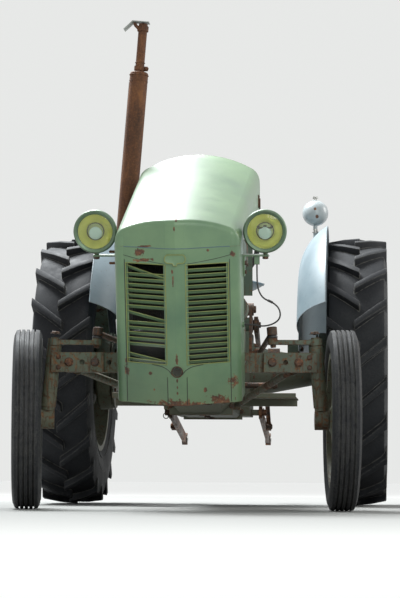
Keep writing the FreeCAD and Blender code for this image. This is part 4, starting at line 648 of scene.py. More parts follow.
def spun(section, steps):
    # a closed section of points swept a full turn about X
    selectOnly()
    bpy.ops.mesh.primitive_circle_add(vertices=len(section), radius=1, fill_type="NOTHING")
    piece = bpy.context.object
    for corner, point in zip(piece.data.vertices, section):
        corner.co = point
    editAll(piece)
    bpy.ops.mesh.spin(steps=steps, angle=2 * math.pi, center=(0, 0, 0), axis=(1, 0, 0))
    bpy.ops.object.mode_set(mode="OBJECT")
    return outwards(piece, 0.05)


def ring(radius, thick, place, along, sides=40, around=8):
    # a rolled ring, square to a direction
    selectOnly()
    bpy.ops.mesh.primitive_torus_add(major_radius=radius, minor_radius=thick, major_segments=sides,
                                     minor_segments=around)
    return moveTo(bpy.context.object, place, along)


def pipeAlong(points, radius, around=3, order=3):
    # a smooth rod or pipe that follows control points
    points = [Vector(point) for point in points]
    while len(points) < 5:                     # a new path has five points
        points.insert(1, (points[0] + points[1]) / 2)
    selectOnly()
    bpy.ops.curve.primitive_nurbs_path_add()
    line = bpy.context.object
    spline = line.data.splines[0]
    spline.points.add(len(points) - len(spline.points))
    for point, place in zip(spline.points, points):
        point.co = (*place, 1)
    spline.order_u = order
    spline.use_endpoint_u = True
    spline.resolution_u = 6
    line.data.bevel_depth = radius
    line.data.bevel_resolution = around
    line.data.use_fill_caps = True
    selectOnly(line)
    bpy.ops.object.convert(target="MESH")
    return outwards(bpy.context.object)


def shifted(piece, place, turn=None):
    # a piece moved by a place in millimetres, after an optional turn or mirror
    piece.data.transform(Matrix.Translation(Vector(place)) @ (Matrix() if turn is None else turn))
    return piece


def pickFaces(piece, wanted):
    # edit mode with only the wanted faces picked
    selectOnly(piece)
    bpy.ops.object.mode_set(mode="EDIT")
    bpy.ops.mesh.select_all(action="DESELECT")
    bpy.ops.object.mode_set(mode="OBJECT")
    for face in piece.data.polygons:
        face.select = wanted(face)
    bpy.ops.object.mode_set(mode="EDIT")


def copied(piece, places):
    # copies of a piece at (place, direction, roll); the first one is used up
    made = []
    for place, along, roll in places:
        other = piece.copy()
        other.data = piece.data.copy()
        bpy.context.collection.objects.link(other)
        made.append(moveTo(other, place, along, roll))
    bpy.data.objects.remove(piece)
    return made


def joinedUp(pieces):
    selectOnly(*pieces)
    if len(pieces) > 1:
        bpy.ops.object.join()
    return bpy.context.view_layer.objects.active


def finished(name, pieces, material, body, matrix=None, stands=()):
    # join, name, dress, bring to metres and put on the body
    piece = joinedUp(list(pieces))
    piece.name = name
    piece.data.transform(Matrix.Scale(milli, 4) @ (Matrix() if matrix is None else matrix))
    piece.data.materials.clear()
    piece.data.materials.append(materials[material])
    selectOnly(piece)
    bpy.ops.object.shade_smooth_by_angle(angle=math.radians(smoothBelow))
    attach(piece, body)
    if stands:
        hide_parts(*stands)
    return piece


# places that move with a tipped or turned piece

tipAngle = math.radians(13.5)
hinge = Vector(joints["bonnet_tip"]["pos_m"]) / milli
tipTurn = Matrix.Translation(hinge) @ Matrix.Rotation(tipAngle, 4, "X") @ Matrix.Translation(-hinge)
turnOnly = tipTurn.to_3x3().to_4x4()


def onBonnet(x, y, z):
    return tipTurn @ fromFront(x, y, z)


def bonnetWay(x, y, z):
    return tipTurn.to_3x3() @ Vector((x, y, z))


def wheelPlace(joint):
    # from a wheel's own space, X along its axle outward, to the tractor's
    middle = Vector(joints[joint]["pos_m"]) / milli
    axle = Vector(joints[joint]["axis"]).normalized()
    if axle.x * middle.x < 0:
        axle = -axle
    turn = Vector((1, 0, 0)).rotation_difference(axle)
    return Matrix.Translation(middle) @ turn.to_matrix().to_4x4()


def hexBolt(across=19.0, high=9.0, washer=True):
    # a bolt head with a chamfered top, on its washer
    radius = across / 2 / math.cos(math.radians(30))
    head = turned([(0, radius), (high - 1.6, radius), (high, radius * 0.86)], 6)
    if not washer:
        return head
    ringUnder = turned([(-2.2, radius * 1.2), (-0.4, radius * 1.2), (0.2, radius * 1.1)], 12)
    return joinedUp([head, ringUnder])


def boltsAt(places, across=19.0, high=9.0, washer=True):
    return copied(hexBolt(across, high, washer), places)


def roundOf(middle, way, radius, count, start=0.0):
    # places evenly round a circle whose axis is the given direction
    turn = Vector((0, 0, 1)).rotation_difference(Vector(way).normalized()).to_matrix()
    return [(Vector(middle) + turn @ Vector((radius * math.cos(start + 2 * math.pi * step / count),
                                             radius * math.sin(start + 2 * math.pi * step / count), 0)),
             way, 23.0 * step) for step in range(count)]


print("shaping ready")


# loose lead of the left headlamp, from the block on its bracket to the gland in the nose's side

leadSet = {"diameter": 0.006, "length": 0.388, "tapeAt": 0.36, "tapeReach": 3,
           "points": ((0.290, -0.194, 0.932), (0.290, -0.194, 0.880), (0.294, -0.196, 0.836),
                      (0.314, -0.199, 0.801),
                      (0.350, -0.202, 0.788), (0.378, -0.203, 0.762), (0.380, -0.201, 0.726),
                      (0.352, -0.197, 0.704),
                      (0.312, -0.193, 0.696), (0.272, -0.190, 0.704), (0.243, -0.190, 0.704))}


def lampLead():
    chosen = leadSet
    selectOnly()
    bpy.ops.curve.primitive_nurbs_path_add()
    lead = bpy.context.object
    lead.name = "lamp_lead_wire"
    spline = lead.data.splines[0]
    spline.points.add(len(chosen["points"]) - len(spline.points))
    for point, (x, y, z) in zip(spline.points, chosen["points"]):
        point.co = (x, frontAxle + y, z, 1)
    spline.order_u = 3
    spline.use_endpoint_u = True
    spline.resolution_u = 10
    line = bpy.data.meshes.new_from_object(lead)
    along = [corner.co.copy() for corner in line.vertices]
    bpy.data.meshes.remove(line)
    lead.data.bevel_depth = chosen["diameter"] / 2
    lead.data.bevel_resolution = 4
    lead.data.use_fill_caps = True
    lead.data.materials.append(materials["cableBlack"])
    middle = int(len(along) * chosen["tapeAt"])
    held = along[middle - chosen["tapeReach"]:middle + chosen["tapeReach"] + 1]
    wraps = [pipeAlong([point / milli for point in held], chosen["diameter"] / milli / 2 + 1.6, 3)]
    for point, ahead in zip(held[1:-1:2], held[2::2]):
        wraps.append(ring(chosen["diameter"] / milli / 2 + 1.4, 1.1, point / milli, ahead - point, 20, 6))
    tape = finished("lamp_lead_tape", wraps, "blackCase", "bonnet")
    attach(lead, "bonnet")
    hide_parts("lamp_lead")


lampLead()
print("lamp lead")


# tyres, with the solids' ribs and lugs in rounded rubber

frontTyreSet = {"radius": 348.0, "width": 112.0, "rim": 241.3, "edge": 261.3, "bead": 39.7, "ribDepth": 9.0,
                "grooves": (27.0, 9.0), "steps": 96}
rearTyreSet = {"radius": 622.5, "width": 275.0, "rim": 356.3, "edge": 376.3, "bead": 113.7, "lugHeight": 38.0,
               "lugs": 20, "slope": 0.8, "steps": 96}


def mirrorOf(half):
    return half + [(-x, radius) for x, radius in reversed(half)]


def frontTyre(side):
    chosen = frontTyreSet
    half = chosen["width"] / 2
    tread = chosen["radius"]
    middle = (chosen["edge"] + tread) / 2
    half1 = [(chosen["bead"], chosen["rim"]), (chosen["bead"] + 1, chosen["edge"]),
             (half - 6, chosen["edge"] + 12),
             (half - 0.5, middle), (half - 3, middle + 20), (half - 8, tread - 12), (half - 11, tread - 5),
             (half - 14, tread - 3.4)]
    for groove in chosen["grooves"]:
        half1 += [(groove + 5.4, tread - 0.9), (groove + 3.6, tread - 1.8),
                  (groove + 2.4, tread - chosen["ribDepth"]),
                  (groove - 2.4, tread - chosen["ribDepth"]), (groove - 3.6, tread - 1.8),
                  (groove - 5.4, tread - 0.6)]
    section = [(x, 0, radius) for x, radius in mirrorOf(half1)]
    tyre = spun(section, chosen["steps"])
    bead = [ring(chosen["edge"] + 16, 1.6, (side * (half - 4.0), 0, 0), (1, 0, 0), 72, 6),
            ring(middle + 8, 1.2, (side * (half - 1.2), 0, 0), (1, 0, 0), 72, 6)]
    name = sideName[side]
    finished("front_tyre_rubber_" + name, [tyre] + bead, "frontTyre", "front_wheel_" + name,
             matrix=wheelPlace("front_wheel_%s_spin" % name),
             stands=("front_tyre_" + name,))


def rearLug(side):
    # one bar: a cube pulled to the lug's corners, split twice along its length and eased
    chosen = rearTyreSet
    selectOnly()
    bpy.ops.mesh.primitive_cube_add(size=2)
    lug = bpy.context.object
    sections = ((-12.0, 0.6, 16.0, 60.0, 23.0), (134.0, 17.0, 21.0, 100.0, 30.0))
    for corner in lug.data.vertices:
        x, drop, halfTip, base, halfBase = sections[1 if corner.co.x > 0 else 0]
        across = halfTip if corner.co.z > 0 else halfBase
        y = chosen["slope"] * x
        if corner.co.z > 0:
            height = math.sqrt((chosen["radius"] - drop) ** 2 - (abs(y) + halfTip) ** 2)
        else:
            height = chosen["radius"] - base
        corner.co = (side * x, y + (across if corner.co.y > 0 else -across), height)
    outwards(lug)
    editAll(lug)
    bpy.ops.mesh.subdivide(number_cuts=1)
    bpy.ops.object.mode_set(mode="OBJECT")
    for corner in lug.data.vertices:           # the top follows the tyre's round, and the bar bows a little
        reach = corner.co.yz.length
        share = (abs(corner.co.x) - 12) / 122
        limit = chosen["radius"] - 0.6 - 16.4 * max(0, share)
        if reach > limit - 12:
            corner.co.yz = corner.co.yz * (limit / reach)
    return bevelled(lug, 5.0, 2, 30)


def rearTyre(side):
    chosen = rearTyreSet
    half = chosen["width"] / 2
    tread = chosen["radius"] - chosen["lugHeight"]
    middle = (chosen["edge"] + tread) / 2
    outline = [(chosen["bead"], chosen["rim"]), (chosen["bead"] + 2, chosen["edge"]),
               (half - 10, chosen["edge"] + 24),
               (half - 1.5, middle - 30), (half - 0.5, middle), (half - 1.5, middle + 30),
               (half - 8, tread - 34),
               (half - 16, tread - 8), (half - 30, tread - 1), (60, tread + 2), (20, tread + 3)]
    section = [(x, 0, radius) for x, radius in mirrorOf(outline)]
    parts = [spun(section, chosen["steps"])]
    for hand in (1, -1):
        start = 180 / chosen["lugs"] if hand < 0 else 0
        turns = [start + 360 / chosen["lugs"] * step for step in range(chosen["lugs"])]
        lug = rearLug(hand)
        for turn in turns:
            other = lug.copy()
            other.data = lug.data.copy()
            bpy.context.collection.objects.link(other)
            other.data.transform(Matrix.Rotation(math.radians(turn), 4, "X"))
            parts.append(other)
        bpy.data.objects.remove(lug)
    parts.append(ring(chosen["edge"] + 30, 2.4, (side * (half - 8), 0, 0), (1, 0, 0), 96, 6))
    parts.append(ring(middle - 8, 1.8, (side * (half - 1.4), 0, 0), (1, 0, 0), 96, 6))
    name = sideName[side]
    if side < 0:
        for part in parts:
            part.data.transform(Matrix.Diagonal((-1, 1, 1, 1)))
            part.data.flip_normals()
    middle = Vector(joints["rear_wheel_%s_spin" % name]["pos_m"]) / milli
    finished("rear_tyre_rubber_" + name, parts, "rearTyre", "rear_wheel_" + name,
             matrix=Matrix.Translation(Vector((side * 660.5, middle.y, middle.z))),
             stands=("rear_tyre_" + name,))


for side in sideName:
    frontTyre(side)
    rearTyre(side)
print("tyres")


# headlamps: rim, reflector, bulb and its shield in each bowl

lampSet = {"x": 322.0, "y": -109.0, "z": 1037.0, "radius": 82.0, "rimInner": 66.0, "depth": 62.0,
           "shield": 33.0,
           "bowlSteps": 8, "bowlTurn": 1.45, "footBack": 34.0, "plateX": 243.5,
           "lines": (((-27, -12.5, 9), (27, -9.5, 15)), ((-10, -12.5, 2), (10, -7, 10)),
                     ((-6, -12, 15), (6, -8, 23)),
                     ((-31, -12, 15), (-20, -10, 20)), ((20, -12, 15), (31, -10, 20)))}


def headlamp(side):
    chosen = lampSet
    spot = onBonnet(side * chosen["x"], chosen["y"], chosen["z"])
    forward = bonnetWay(0, -1, 0)
    name = sideName[side]
    radius = chosen["radius"]
    rim = turned([(-13, radius + 0.6), (1, radius + 0.8), (5, radius - 1.5), (7.5, radius - 5),
                  (5, radius - 10),
                  (2.5, chosen["rimInner"] + 2), (1.2, chosen["rimInner"]), (-3, chosen["rimInner"]),
                  (-3.5, chosen["rimInner"] - 0.5)], 64, spot, forward)
    finished("headlamp_rim_" + name, [openFront(rim)], "bezel", "bonnet")
    steps = chosen["bowlSteps"]
    bowl = [(-4.5 - chosen["depth"] * math.sin(step / steps * math.pi / 2),
             (chosen["rimInner"] + 4) * math.cos(step / steps * chosen["bowlTurn"]))
            for step in range(steps + 1)]
    reflector = openFront(turned(bowl, 56, spot, forward))
    editAll(reflector)
    bpy.ops.mesh.flip_normals()                # it is seen from inside
    bpy.ops.object.mode_set(mode="OBJECT")
    finished("headlamp_reflector_" + name, [reflector], "reflector", "bonnet")
    reach = chosen["shield"]
    shield = turned([(-24, reach - 8), (-15, reach - 1), (-13, reach - 3), (-12, 8)], 40, spot, forward)
    finished("headlamp_shield_" + name, [shield], "shieldTin", "bonnet")
    edge = [ring(reach - 1, 2.2, spot - forward * 13.5, forward, 40, 6),
            ring(chosen["rimInner"] + 1.5, 1.8, spot - forward * 1.5, forward, 56, 6)]
    if side > 0:
        edge += [shifted(slab(low, high, 1.4), spot, turnOnly @ Matrix.Translation((0, 21, 0)))
                 for low, high in chosen["lines"]]
    finished("headlamp_lines_" + name, edge, "blackCase", "bonnet")
    # the bulb's pale blue colour is a painted sky reflection
    bulb = turned([(-13, reach - 8), (-9, reach - 10), (-6.5, reach - 17), (-5.5, 5)], 32,
                  spot + bonnetWay(0, 0, -7), forward)
    finished("headlamp_bulb_" + name, [bulb], "bulbSkyReflection", "bonnet")
    clips = boltsAt(roundOf(spot + forward * 1.5, forward, radius - 4.5, 3, 0.52), 7, 4, False)
    below, footY, footZ = bonnetWay(0, 0, -1), chosen["y"] + chosen["footBack"], chosen["z"] - radius
    screw = turned([(0, 6), (3, 6), (4.5, 3)], 16, onBonnet(side * chosen["x"], chosen["y"] + 6, footZ + 1),
                   below)
    nut = boltsAt([(onBonnet(side * chosen["x"], footY, footZ - 17), below, 0)], 22, 10)
    plate = boltsAt([(onBonnet(side * chosen["plateX"], footY, footZ - 16 - drop), bonnetWay(side, 0, 0),
                      drop)
                     for drop in (26, 62)], 15, 7)
    finished("headlamp_fixings_" + name, clips + [screw] + nut + plate, "darkIron", "bonnet")


def openFront(piece):
    # take away the two closing discs of a turned cup
    pickFaces(piece, lambda face: len(face.vertices) > 8)
    bpy.ops.mesh.select_mode(type="FACE")
    bpy.ops.mesh.delete(type="FACE")
    bpy.ops.object.mode_set(mode="OBJECT")
    return piece


for side in sideName:
    headlamp(side)
print("headlamps")


# work lamp on the left fender

workSet = {"x": 462.0, "y": 40.0, "z": 1372.0, "radius": 60.0, "flat": 28.0}


def workLamp():
    chosen = workSet
    spot = fromRear(chosen["x"], chosen["y"], chosen["z"])
    back = Vector((0, 1, 0))
    mouth = math.sqrt(chosen["radius"] ** 2 - chosen["flat"] ** 2)
    face = spot + back * chosen["flat"]
    rim = openFront(turned([(-9, mouth + 2.5), (2, mouth + 2.5), (5, mouth - 1), (4, mouth - 6),
                            (1, mouth - 7)],
                           48, face, back))
    lens = turned([(1, mouth - 5), (3.5, mouth - 12), (6, mouth - 26), (7, mouth - 44)], 40, face, back)
    finished("work_lamp_lens", [lens], "clearLens", "chassis")
    seam = ring(chosen["radius"] - 0.6, 1.6, spot + back * 3, back, 56, 6)
    finished("work_lamp_rim", [rim, seam], "lampShell", "chassis")
    top = spot + Vector((0, 0, chosen["radius"] - 1))
    boss = turned([(-2, 11), (2, 11), (4, 7), (9, 7), (10, 5)], 20, top)
    spread24 = Matrix.Rotation(math.radians(-24), 4, "Y")
    wings = [shifted(slab((2, -2.2, 4), (17, 2.2, 17), 2.0), top, Matrix.Rotation(turn, 4, "Z") @ spread24)
             for turn in (0, math.pi)]
    foot = fromRear(chosen["x"], chosen["y"], 0)
    crown = nodeBox("fender_left")[1].z / milli
    collar = turned([(0, 15), (5, 15), (8, 11.5), (18, 11.5)], 20, Vector((foot.x, foot.y, crown - 24)))
    finished("work_lamp_wing_nut", [boss] + wings + [collar], "brightSteel", "chassis")


workLamp()
print("work lamp")


# bare plate on the nose's pillar, the crank hole's rim and the frames of the louvre banks

noseSet = {"apex": -332.0, "rake": 40.0, "seam": 1000.0, "foot": 402.0, "pillarHalf": 36.0, "pillarDrop": 6.0,
           "slope": 0.44, "plateZ": 962.0, "plateHalf": 41.0, "plateHigh": 17.0, "hole": 533.0}


def nosePoint(x, z, proud=0.0):
    # a place on the nose's outer face before the bonnet is tipped
    chosen = noseSet
    rake = chosen["rake"] * (chosen["seam"] - z) / (chosen["seam"] - chosen["foot"])
    beyond = max(0, abs(x) - chosen["pillarHalf"]) * chosen["slope"]
    inside = min(abs(x), chosen["pillarHalf"]) / chosen["pillarHalf"] * chosen["pillarDrop"]
    return onBonnet(x, chosen["apex"] + rake + inside + beyond - proud, z)


def nosePlate():
    chosen = noseSet
    half, high = chosen["plateHalf"], chosen["plateHigh"]
    forward = bonnetWay(0, -1, -0.067)
    outline = [(-half, high * 0.4), (-half + 8, high), (half - 8, high), (half, high * 0.4),
               (half, -high * 0.5),
               (half - 8, -high), (9, -high - 2), (6, -high - 11), (-6, -high - 11), (-9, -high - 2),
               (-half + 8, -high),
               (-half, -high * 0.5)]
    spot = nosePoint(0, chosen["plateZ"], -2.0)
    plate = cutOut(outline, 5.0, 1.2)
    pickFaces(plate, lambda face: face.normal.z > 0.9 and face.area > 500)
    bpy.ops.mesh.inset(thickness=3.4)
    bpy.ops.transform.translate(value=(0, 0, -1.6))
    bpy.ops.object.mode_set(mode="OBJECT")
    bead = pipeAlong([(x * 0.93, z * 0.9, 4.9) for x, z in outline + outline[:1]], 1.8, 2, 2)
    for piece in (plate, bead):
        shifted(piece, spot, Matrix.Rotation(math.radians(86.2) + tipAngle, 4, "X"))
    rivets = boltsAt([(nosePoint(x, chosen["plateZ"], 2.6), forward, 0) for x in (-34, 34)], 5, 2.2, False)
    finished("nose_plate", [plate] + rivets, "sheetPaintShadedGreen", "bonnet")
    finished("nose_plate_bead", [bead], "beadWearAndHighlight", "bonnet")
    rim = ring(20.0, 2.6, nosePoint(0, chosen["hole"], 0.2), forward, 40, 8)
    finished("crank_hole_rim", [rim], "darkIron", "bonnet")


def louvreFrame():
    beads = []
    for side in sideName:
        corners = [(37.5, 559), (37.5, 939), (192.0, 939), (192.0, 559)]
        for (x0, z0), (x1, z1) in zip(corners, corners[1:] + corners[:1]):
            edge = [nosePoint(side * (x0 + (x1 - x0) * share), z0 + (z1 - z0) * share, 0.4)
                    for share in (0, 0.33, 0.66, 1)]
            beads.append(pipeAlong(edge, 1.7, 2, 2))
    finished("louvre_frame_beads", beads, "beadWearAndHighlight", "bonnet")


slatSet = {"pitch": 20.5, "wall": 2.0, "deep": 15.0, "longer": 5.5, "foot": 560.0, "rows": 18, "inner": 37.0,
           "outer": 192.0,
           "back": 3.2, "missing": (2, 8), "bent": {0: (-3, 1), 1: (-22, 3), 9: (-30, 0), 17: (-34, 10)}}


def slatEdges(side):
    chosen = slatSet
    lipHighlights, blades = [], []
    for row in range(chosen["rows"]):
        if side < 0 and row in chosen["missing"]:
            continue
        risen = chosen["bent"].get(row, (0, 0)) if side < 0 else (0, 0)
        z = chosen["foot"] + chosen["pitch"] * (row + 0.5) + chosen["wall"]
        ends = [nosePoint(side * x, z + rise, -chosen["back"])
                for x, rise in zip((chosen["inner"] + 1, chosen["outer"] - 1), risen)]
        along = (ends[1] - ends[0]).normalized()
        slope = bonnetWay(0, 0.8, -0.6)
        # each slat's lip is coloured pale yellow-green as a painted highlight on its lit upper edge
        lipHighlights.append(pipeAlong([end + Vector((0, 0, 1.2)) for end in ends], 1.5, 2, 2))
        far = (ends[0] + ends[1]) / 2 + slope * chosen["deep"]
        normal = along.cross(slope).normalized()
        frameTurn = Matrix((along, normal.cross(along), normal)).transposed().to_4x4()
        reach = (ends[1] - ends[0]).length / 2
        blade = slab((-reach, -2.0, -0.9), (reach, chosen["longer"], 0.9), 0.5, 1)
        way = 1 if (normal.cross(along)).dot(slope) > 0 else -1
        blade.data.transform(Matrix.Translation(far) @ frameTurn @ Matrix.Diagonal((1, way, 1, 1)))
        blades.append(outwards(blade))
    name = sideName[side]
    finished("louvre_lip_highlights_" + name, lipHighlights, "beadWearAndHighlight", "bonnet")
    finished("louvre_blades_" + name, blades, "sheetPaintShadedGreen", "bonnet")


nosePlate()
louvreFrame()
for side in sideName:
    slatEdges(side)
print("nose trim")


# bolts, all on the chassis: name, axle letter, width across flats, height, direction and places; the letter
# says which axle the places are measured from (f front, r rear)

back, ahead, up, down, left, right = ((0, 1, 0), (0, -1, 0), (0, 0, 1), (0, 0, -1), (1, 0, 0), (-1, 0, 0))


def bothSides(*places):
    return [(sign * x, y, z) for x, y, z in places for sign in (1, -1)]


def rowOf(start, step, count):
    return [tuple(a + b * number for a, b in zip(start, step)) for number in range(count)]


boltRows = (
    ("beam", "f", 27, 13, ahead, bothSides((343.2, -40.2, 568), (444.8, -40.2, 568))),
    ("beamRear", "f", 27, 15, back, bothSides((343.2, 22.2, 568), (444.8, 22.2, 568))),
    ("armTube", "f", 15, 7, ahead, bothSides((486, -40.2, 588), (486, -40.2, 548))),
    ("frontCover", "f", 13, 6, ahead, bothSides((78, 43, 650), (78, 43, 702), (78, 43, 750), (46, 43, 824))),
    ("sumpRail", "f", 13, 6, down, bothSides(*rowOf((124, 78, 550), (0, 70, 0), 8))),
    ("headNutsRight", "f", 19, 11, up, rowOf((-96, 92, 930), (0, 74, 0), 7)),
    ("headNutsLeft", "f", 19, 11, up, rowOf((85, 92, 930), (0, 112, 0), 5)),
    ("clutchRing", "f", 17, 8, ahead,
     bothSides((152, 600, 480), (152, 600, 590), (152, 600, 700), (148, 600, 800),
                                                 (96, 600, 836))),
    ("gearboxFront", "f", 17, 8, ahead,
     bothSides((130, 860, 430), (130, 860, 530), (130, 860, 630), (130, 860, 730))),
    ("gearboxRear", "f", 17, 8, ahead, bothSides((130, 1586, 430), (130, 1586, 530), (130, 1586, 630),
                                                  (130, 1586, 730))),
    ("leverTower", "f", 13, 6, up, bothSides((62, 1260, 830), (62, 1370, 830))),
    ("steeringBox", "f", 15, 7, up, bothSides((80, 930, 900), (80, 1040, 900))),
    ("liftCover", "r", 17, 8, up, bothSides(*rowOf((129, -165, 812), (0, 70, 0), 5))),
    ("topLinkCheeks", "r", 15, 7, back, bothSides((52, 150, 722), (52, 150, 658))),
    ("fenderSeat", "r", 19, 9, left, [(399.3, y, z) for y in (-26, 26) for z in (682, 728)]),
    ("fenderSeatRight", "r", 19, 9, right, [(-399.3, y, z) for y in (-26, 26) for z in (682, 728)]),
    ("seatSpring", "r", 19, 9, up, [(-16, -96, 888), (16, -96, 888)]),
    ("footrests", "f", 15, 6, up, bothSides((222, 1175, 476), (372, 1175, 476))),
    ("supportLeft", "f", 19, 9, left, [(105, y, z) for y in (-150, -90, 36) for z in (622, 646)]),
    ("supportRight", "f", 19, 9, right, [(-105, y, z) for y in (-150, -90, 36) for z in (622, 646)]),
    ("radiatorFeet", "f", 15, 7, up, bothSides((186, -50, 662), (186, -135, 662))),
    ("dashFace", "f", 9, 3.5, back, bothSides((200, 909, 920), (200, 909, 1100), (60, 909, 1180))),
    ("brakeBackLeft", "r", 15, 7, right,
     [(469, 82 * math.cos(a), 622.5 + 150 * math.sin(a)) for a in (0.6, 2.5, 3.8, 5.6)]),
    ("brakeBackRight", "r", 15, 7, left,
     [(-469, 82 * math.cos(a), 622.5 + 150 * math.sin(a)) for a in (0.6, 2.5, 3.8, 5.6)]),
)
made = []
for label, base, across, high, way, places in boltRows:
    start = fromFront if base == "f" else fromRear
    made += boltsAt([(start(*place), way, 17.0 * number) for number, place in enumerate(places)], across,
                    high)
for side in sideName:
    made += boltsAt(roundOf(fromRear(side * 182, 0, 622.5), (side, 0, 0), 125, 12, 0.26), 13, 7)
finished("chassis_bolts", made, "darkIron", "chassis")
print("chassis bolts")


# nuts, caps and valves of the wheels; places are in the wheel's own space, X outward along its axle

frontHubSet = {"studs": 6, "circle": 68.0, "face": -30.0, "cap": 30.6, "capAt": 41.0, "valve": (-22, 0, -218),
               "valveWay": (0.62, 0, 0.78)}
rearHubSet = {"x": 660.5, "z": 622.5, "disc": -69.5, "studs": 8, "circle": 101.0, "clamps": 8,
              "valve": (24, 0, 346),
              "valveWay": (0.5, 0, -0.86)}


def around(count, circle, x, start=0.0):
    angles = [2 * math.pi / count * number + start for number in range(count)]
    return [(x, circle * math.sin(angle), circle * math.cos(angle)) for angle in angles]


def frontHubTrim(side):
    chosen, name = frontHubSet, sideName[side]
    body, place = "front_wheel_" + name, wheelPlace("front_wheel_%s_spin" % name)
    studs = around(chosen["studs"], chosen["circle"], chosen["face"])
    parts = boltsAt([(stud, left, 0) for stud in studs], 22, 13)
    parts += [turned([(0, 5), (20, 5), (21, 4)], 10, stud, left) for stud in studs]
    parts.append(turned([(30, 31), (44, 30), (50, 26), (55, 18), (57, 8)], 32, (0, 0, 0), left))
    parts.append(ring(chosen["cap"], 1.5, (chosen["capAt"], 0, 0), left, 32, 6))
    finished("front_hub_trim_" + name, parts, "darkIron", body, matrix=place)
    stem = turned([(0, 6), (4, 6), (5, 4), (22, 4), (23, 5), (31, 5), (32, 4)], 14, chosen["valve"],
                  chosen["valveWay"])
    finished("front_valve_" + name, [stem], "brightSteel", body, matrix=place)


def rearHubTrim(side):
    chosen, name = rearHubSet, sideName[side]
    body, disc = "rear_wheel_" + name, chosen["disc"]
    place = (Matrix.Translation(fromRear(side * chosen["x"], 0, chosen["z"]))
             @ Matrix.Rotation(0 if side > 0 else math.pi, 4, "Z"))
    parts = boltsAt([(stud, left, 0) for stud in around(chosen["studs"], chosen["circle"], disc)], 27, 16)
    parts.append(turned([(disc - 1, 44), (disc + 12, 44), (disc + 19, 38), (disc + 22, 20)], 36, (0, 0, 0),
                        left))
    parts.append(ring(60, 2.6, (disc, 0, 0), left, 40, 6))
    finished("rear_hub_trim_" + name, parts, "darkIron", body, matrix=place)
    clamps = []
    for number in range(chosen["clamps"]):
        turn = Matrix.Rotation(2 * math.pi / chosen["clamps"] * (number + 0.5), 4, "X")
        block = slab((disc + 40, -26, 306), (disc + 54, 26, 348), 4)
        bolt = boltsAt([((disc + 54, 0, 322), left, 0)], 22, 12)
        rib = slab((disc + 34, -5, 236), (disc + 46, 5, 318), 2)
        clamps += [shifted(piece, (0, 0, 0), turn) for piece in [block, rib] + bolt]
    finished("rear_rim_clamps_" + name, clamps, "wheelPaint", body, matrix=place)
    stem = turned([(0, 7), (5, 7), (6, 4.5), (26, 4.5), (27, 5.5), (36, 5.5), (37, 4)], 14, chosen["valve"],
                  chosen["valveWay"])
    finished("rear_valve_" + name, [stem], "brightSteel", body, matrix=place)


for side in sideName:
    frontHubTrim(side)
    rearHubTrim(side)
print("wheel trim")


# kingpins, ball joints and the links' ends

kingpinSet = {"nutBelow": 9.0, "nippleBelow": 14.4, "collarBelow": 1.6, "cotterBelow": 53.0}


def kingpinTrim(side):
    chosen, name = kingpinSet, sideName[side]
    joint, stub = joints["steer_" + name], "stub_" + name
    axis = Vector(joint["axis"]).normalized()
    if axis.z < 0:
        axis = -axis
    foot = Vector(joint["pos_m"]) / milli
    crown = nodeBox("stub_axle_" + name)[1].z / milli
    top = foot + axis * ((crown - foot.z) / axis.z - chosen["collarBelow"])
    nut = boltsAt([(top - axis * chosen["nutBelow"], axis, 10)], 30, 7)
    nipple = turned([(0, 5), (4, 5), (5, 3), (9, 3), (11, 4.4), (14, 2.4)], 12,
                    top - axis * chosen["nippleBelow"],
                    axis)
    finished("kingpin_nut_" + name, nut + [nipple], "darkIron", stub)
    ball = Vector(joints["drag_link_%s_swing" % name]["pos_m"]) / milli
    boot = turned([(-23, 12), (-22, 18.5), (-18, 20.5), (-13, 19.5), (-10, 16), (-9.4, 12)], 28, ball, axis)
    finished("ball_boot_" + name, [boot], "blackCase", stub)
    nut = turned([(-58, 9), (-57, 12), (-47, 13), (-46.2, 14)], 6, ball, axis)
    cotter = turned([(-17, 1.6), (17, 1.6)], 8, ball - axis * chosen["cotterBelow"], (0.2, 1, 0))
    finished("ball_nut_" + name, [nut, cotter], "darkIron", stub)
    cap = turned([(20.4, 19), (22.5, 18), (23.6, 12), (23.8, 5)], 28, ball, axis)
    finished("link_cap_" + name, [cap], "darkIron", "drag_link_" + name)


for side in sideName:
    kingpinTrim(side)
print("steering trim")


# radiator: rows of tubes and fins in the core, cap with its overflow, hose clamps

radiatorSet = {"half": 178.0, "front": -120.0, "rear": -65.0, "foot": 713.0, "top": 989.0, "tubes": 44,
               "fins": 52,
               "neck": (0, -92.5, 1071), "hose": 16.2,
               "overflow": ((26, -92, 1062), (60, -92, 1060), (160, -84, 1054), (203, -84, 1030),
                            (203, -86, 900),
                            (203, -88, 668)),
               "clamps": (((84, -36, 1015), back, (0, 0, 18)), ((84, 97, 942), up, (0, 19, 0)),
                          ((-104, -36, 690), back, (0, 0, 18)), ((-104, 47, 690), back, (0, 0, 18)))}
beltSet = {"pulleys": ((0, 706, 54), (0, 890, 50), (184, 792, 34)), "y": 33.0, "wide": 10.0, "thick": 7.0,
           "sides": 48}                        # a pulley is x, z and radius


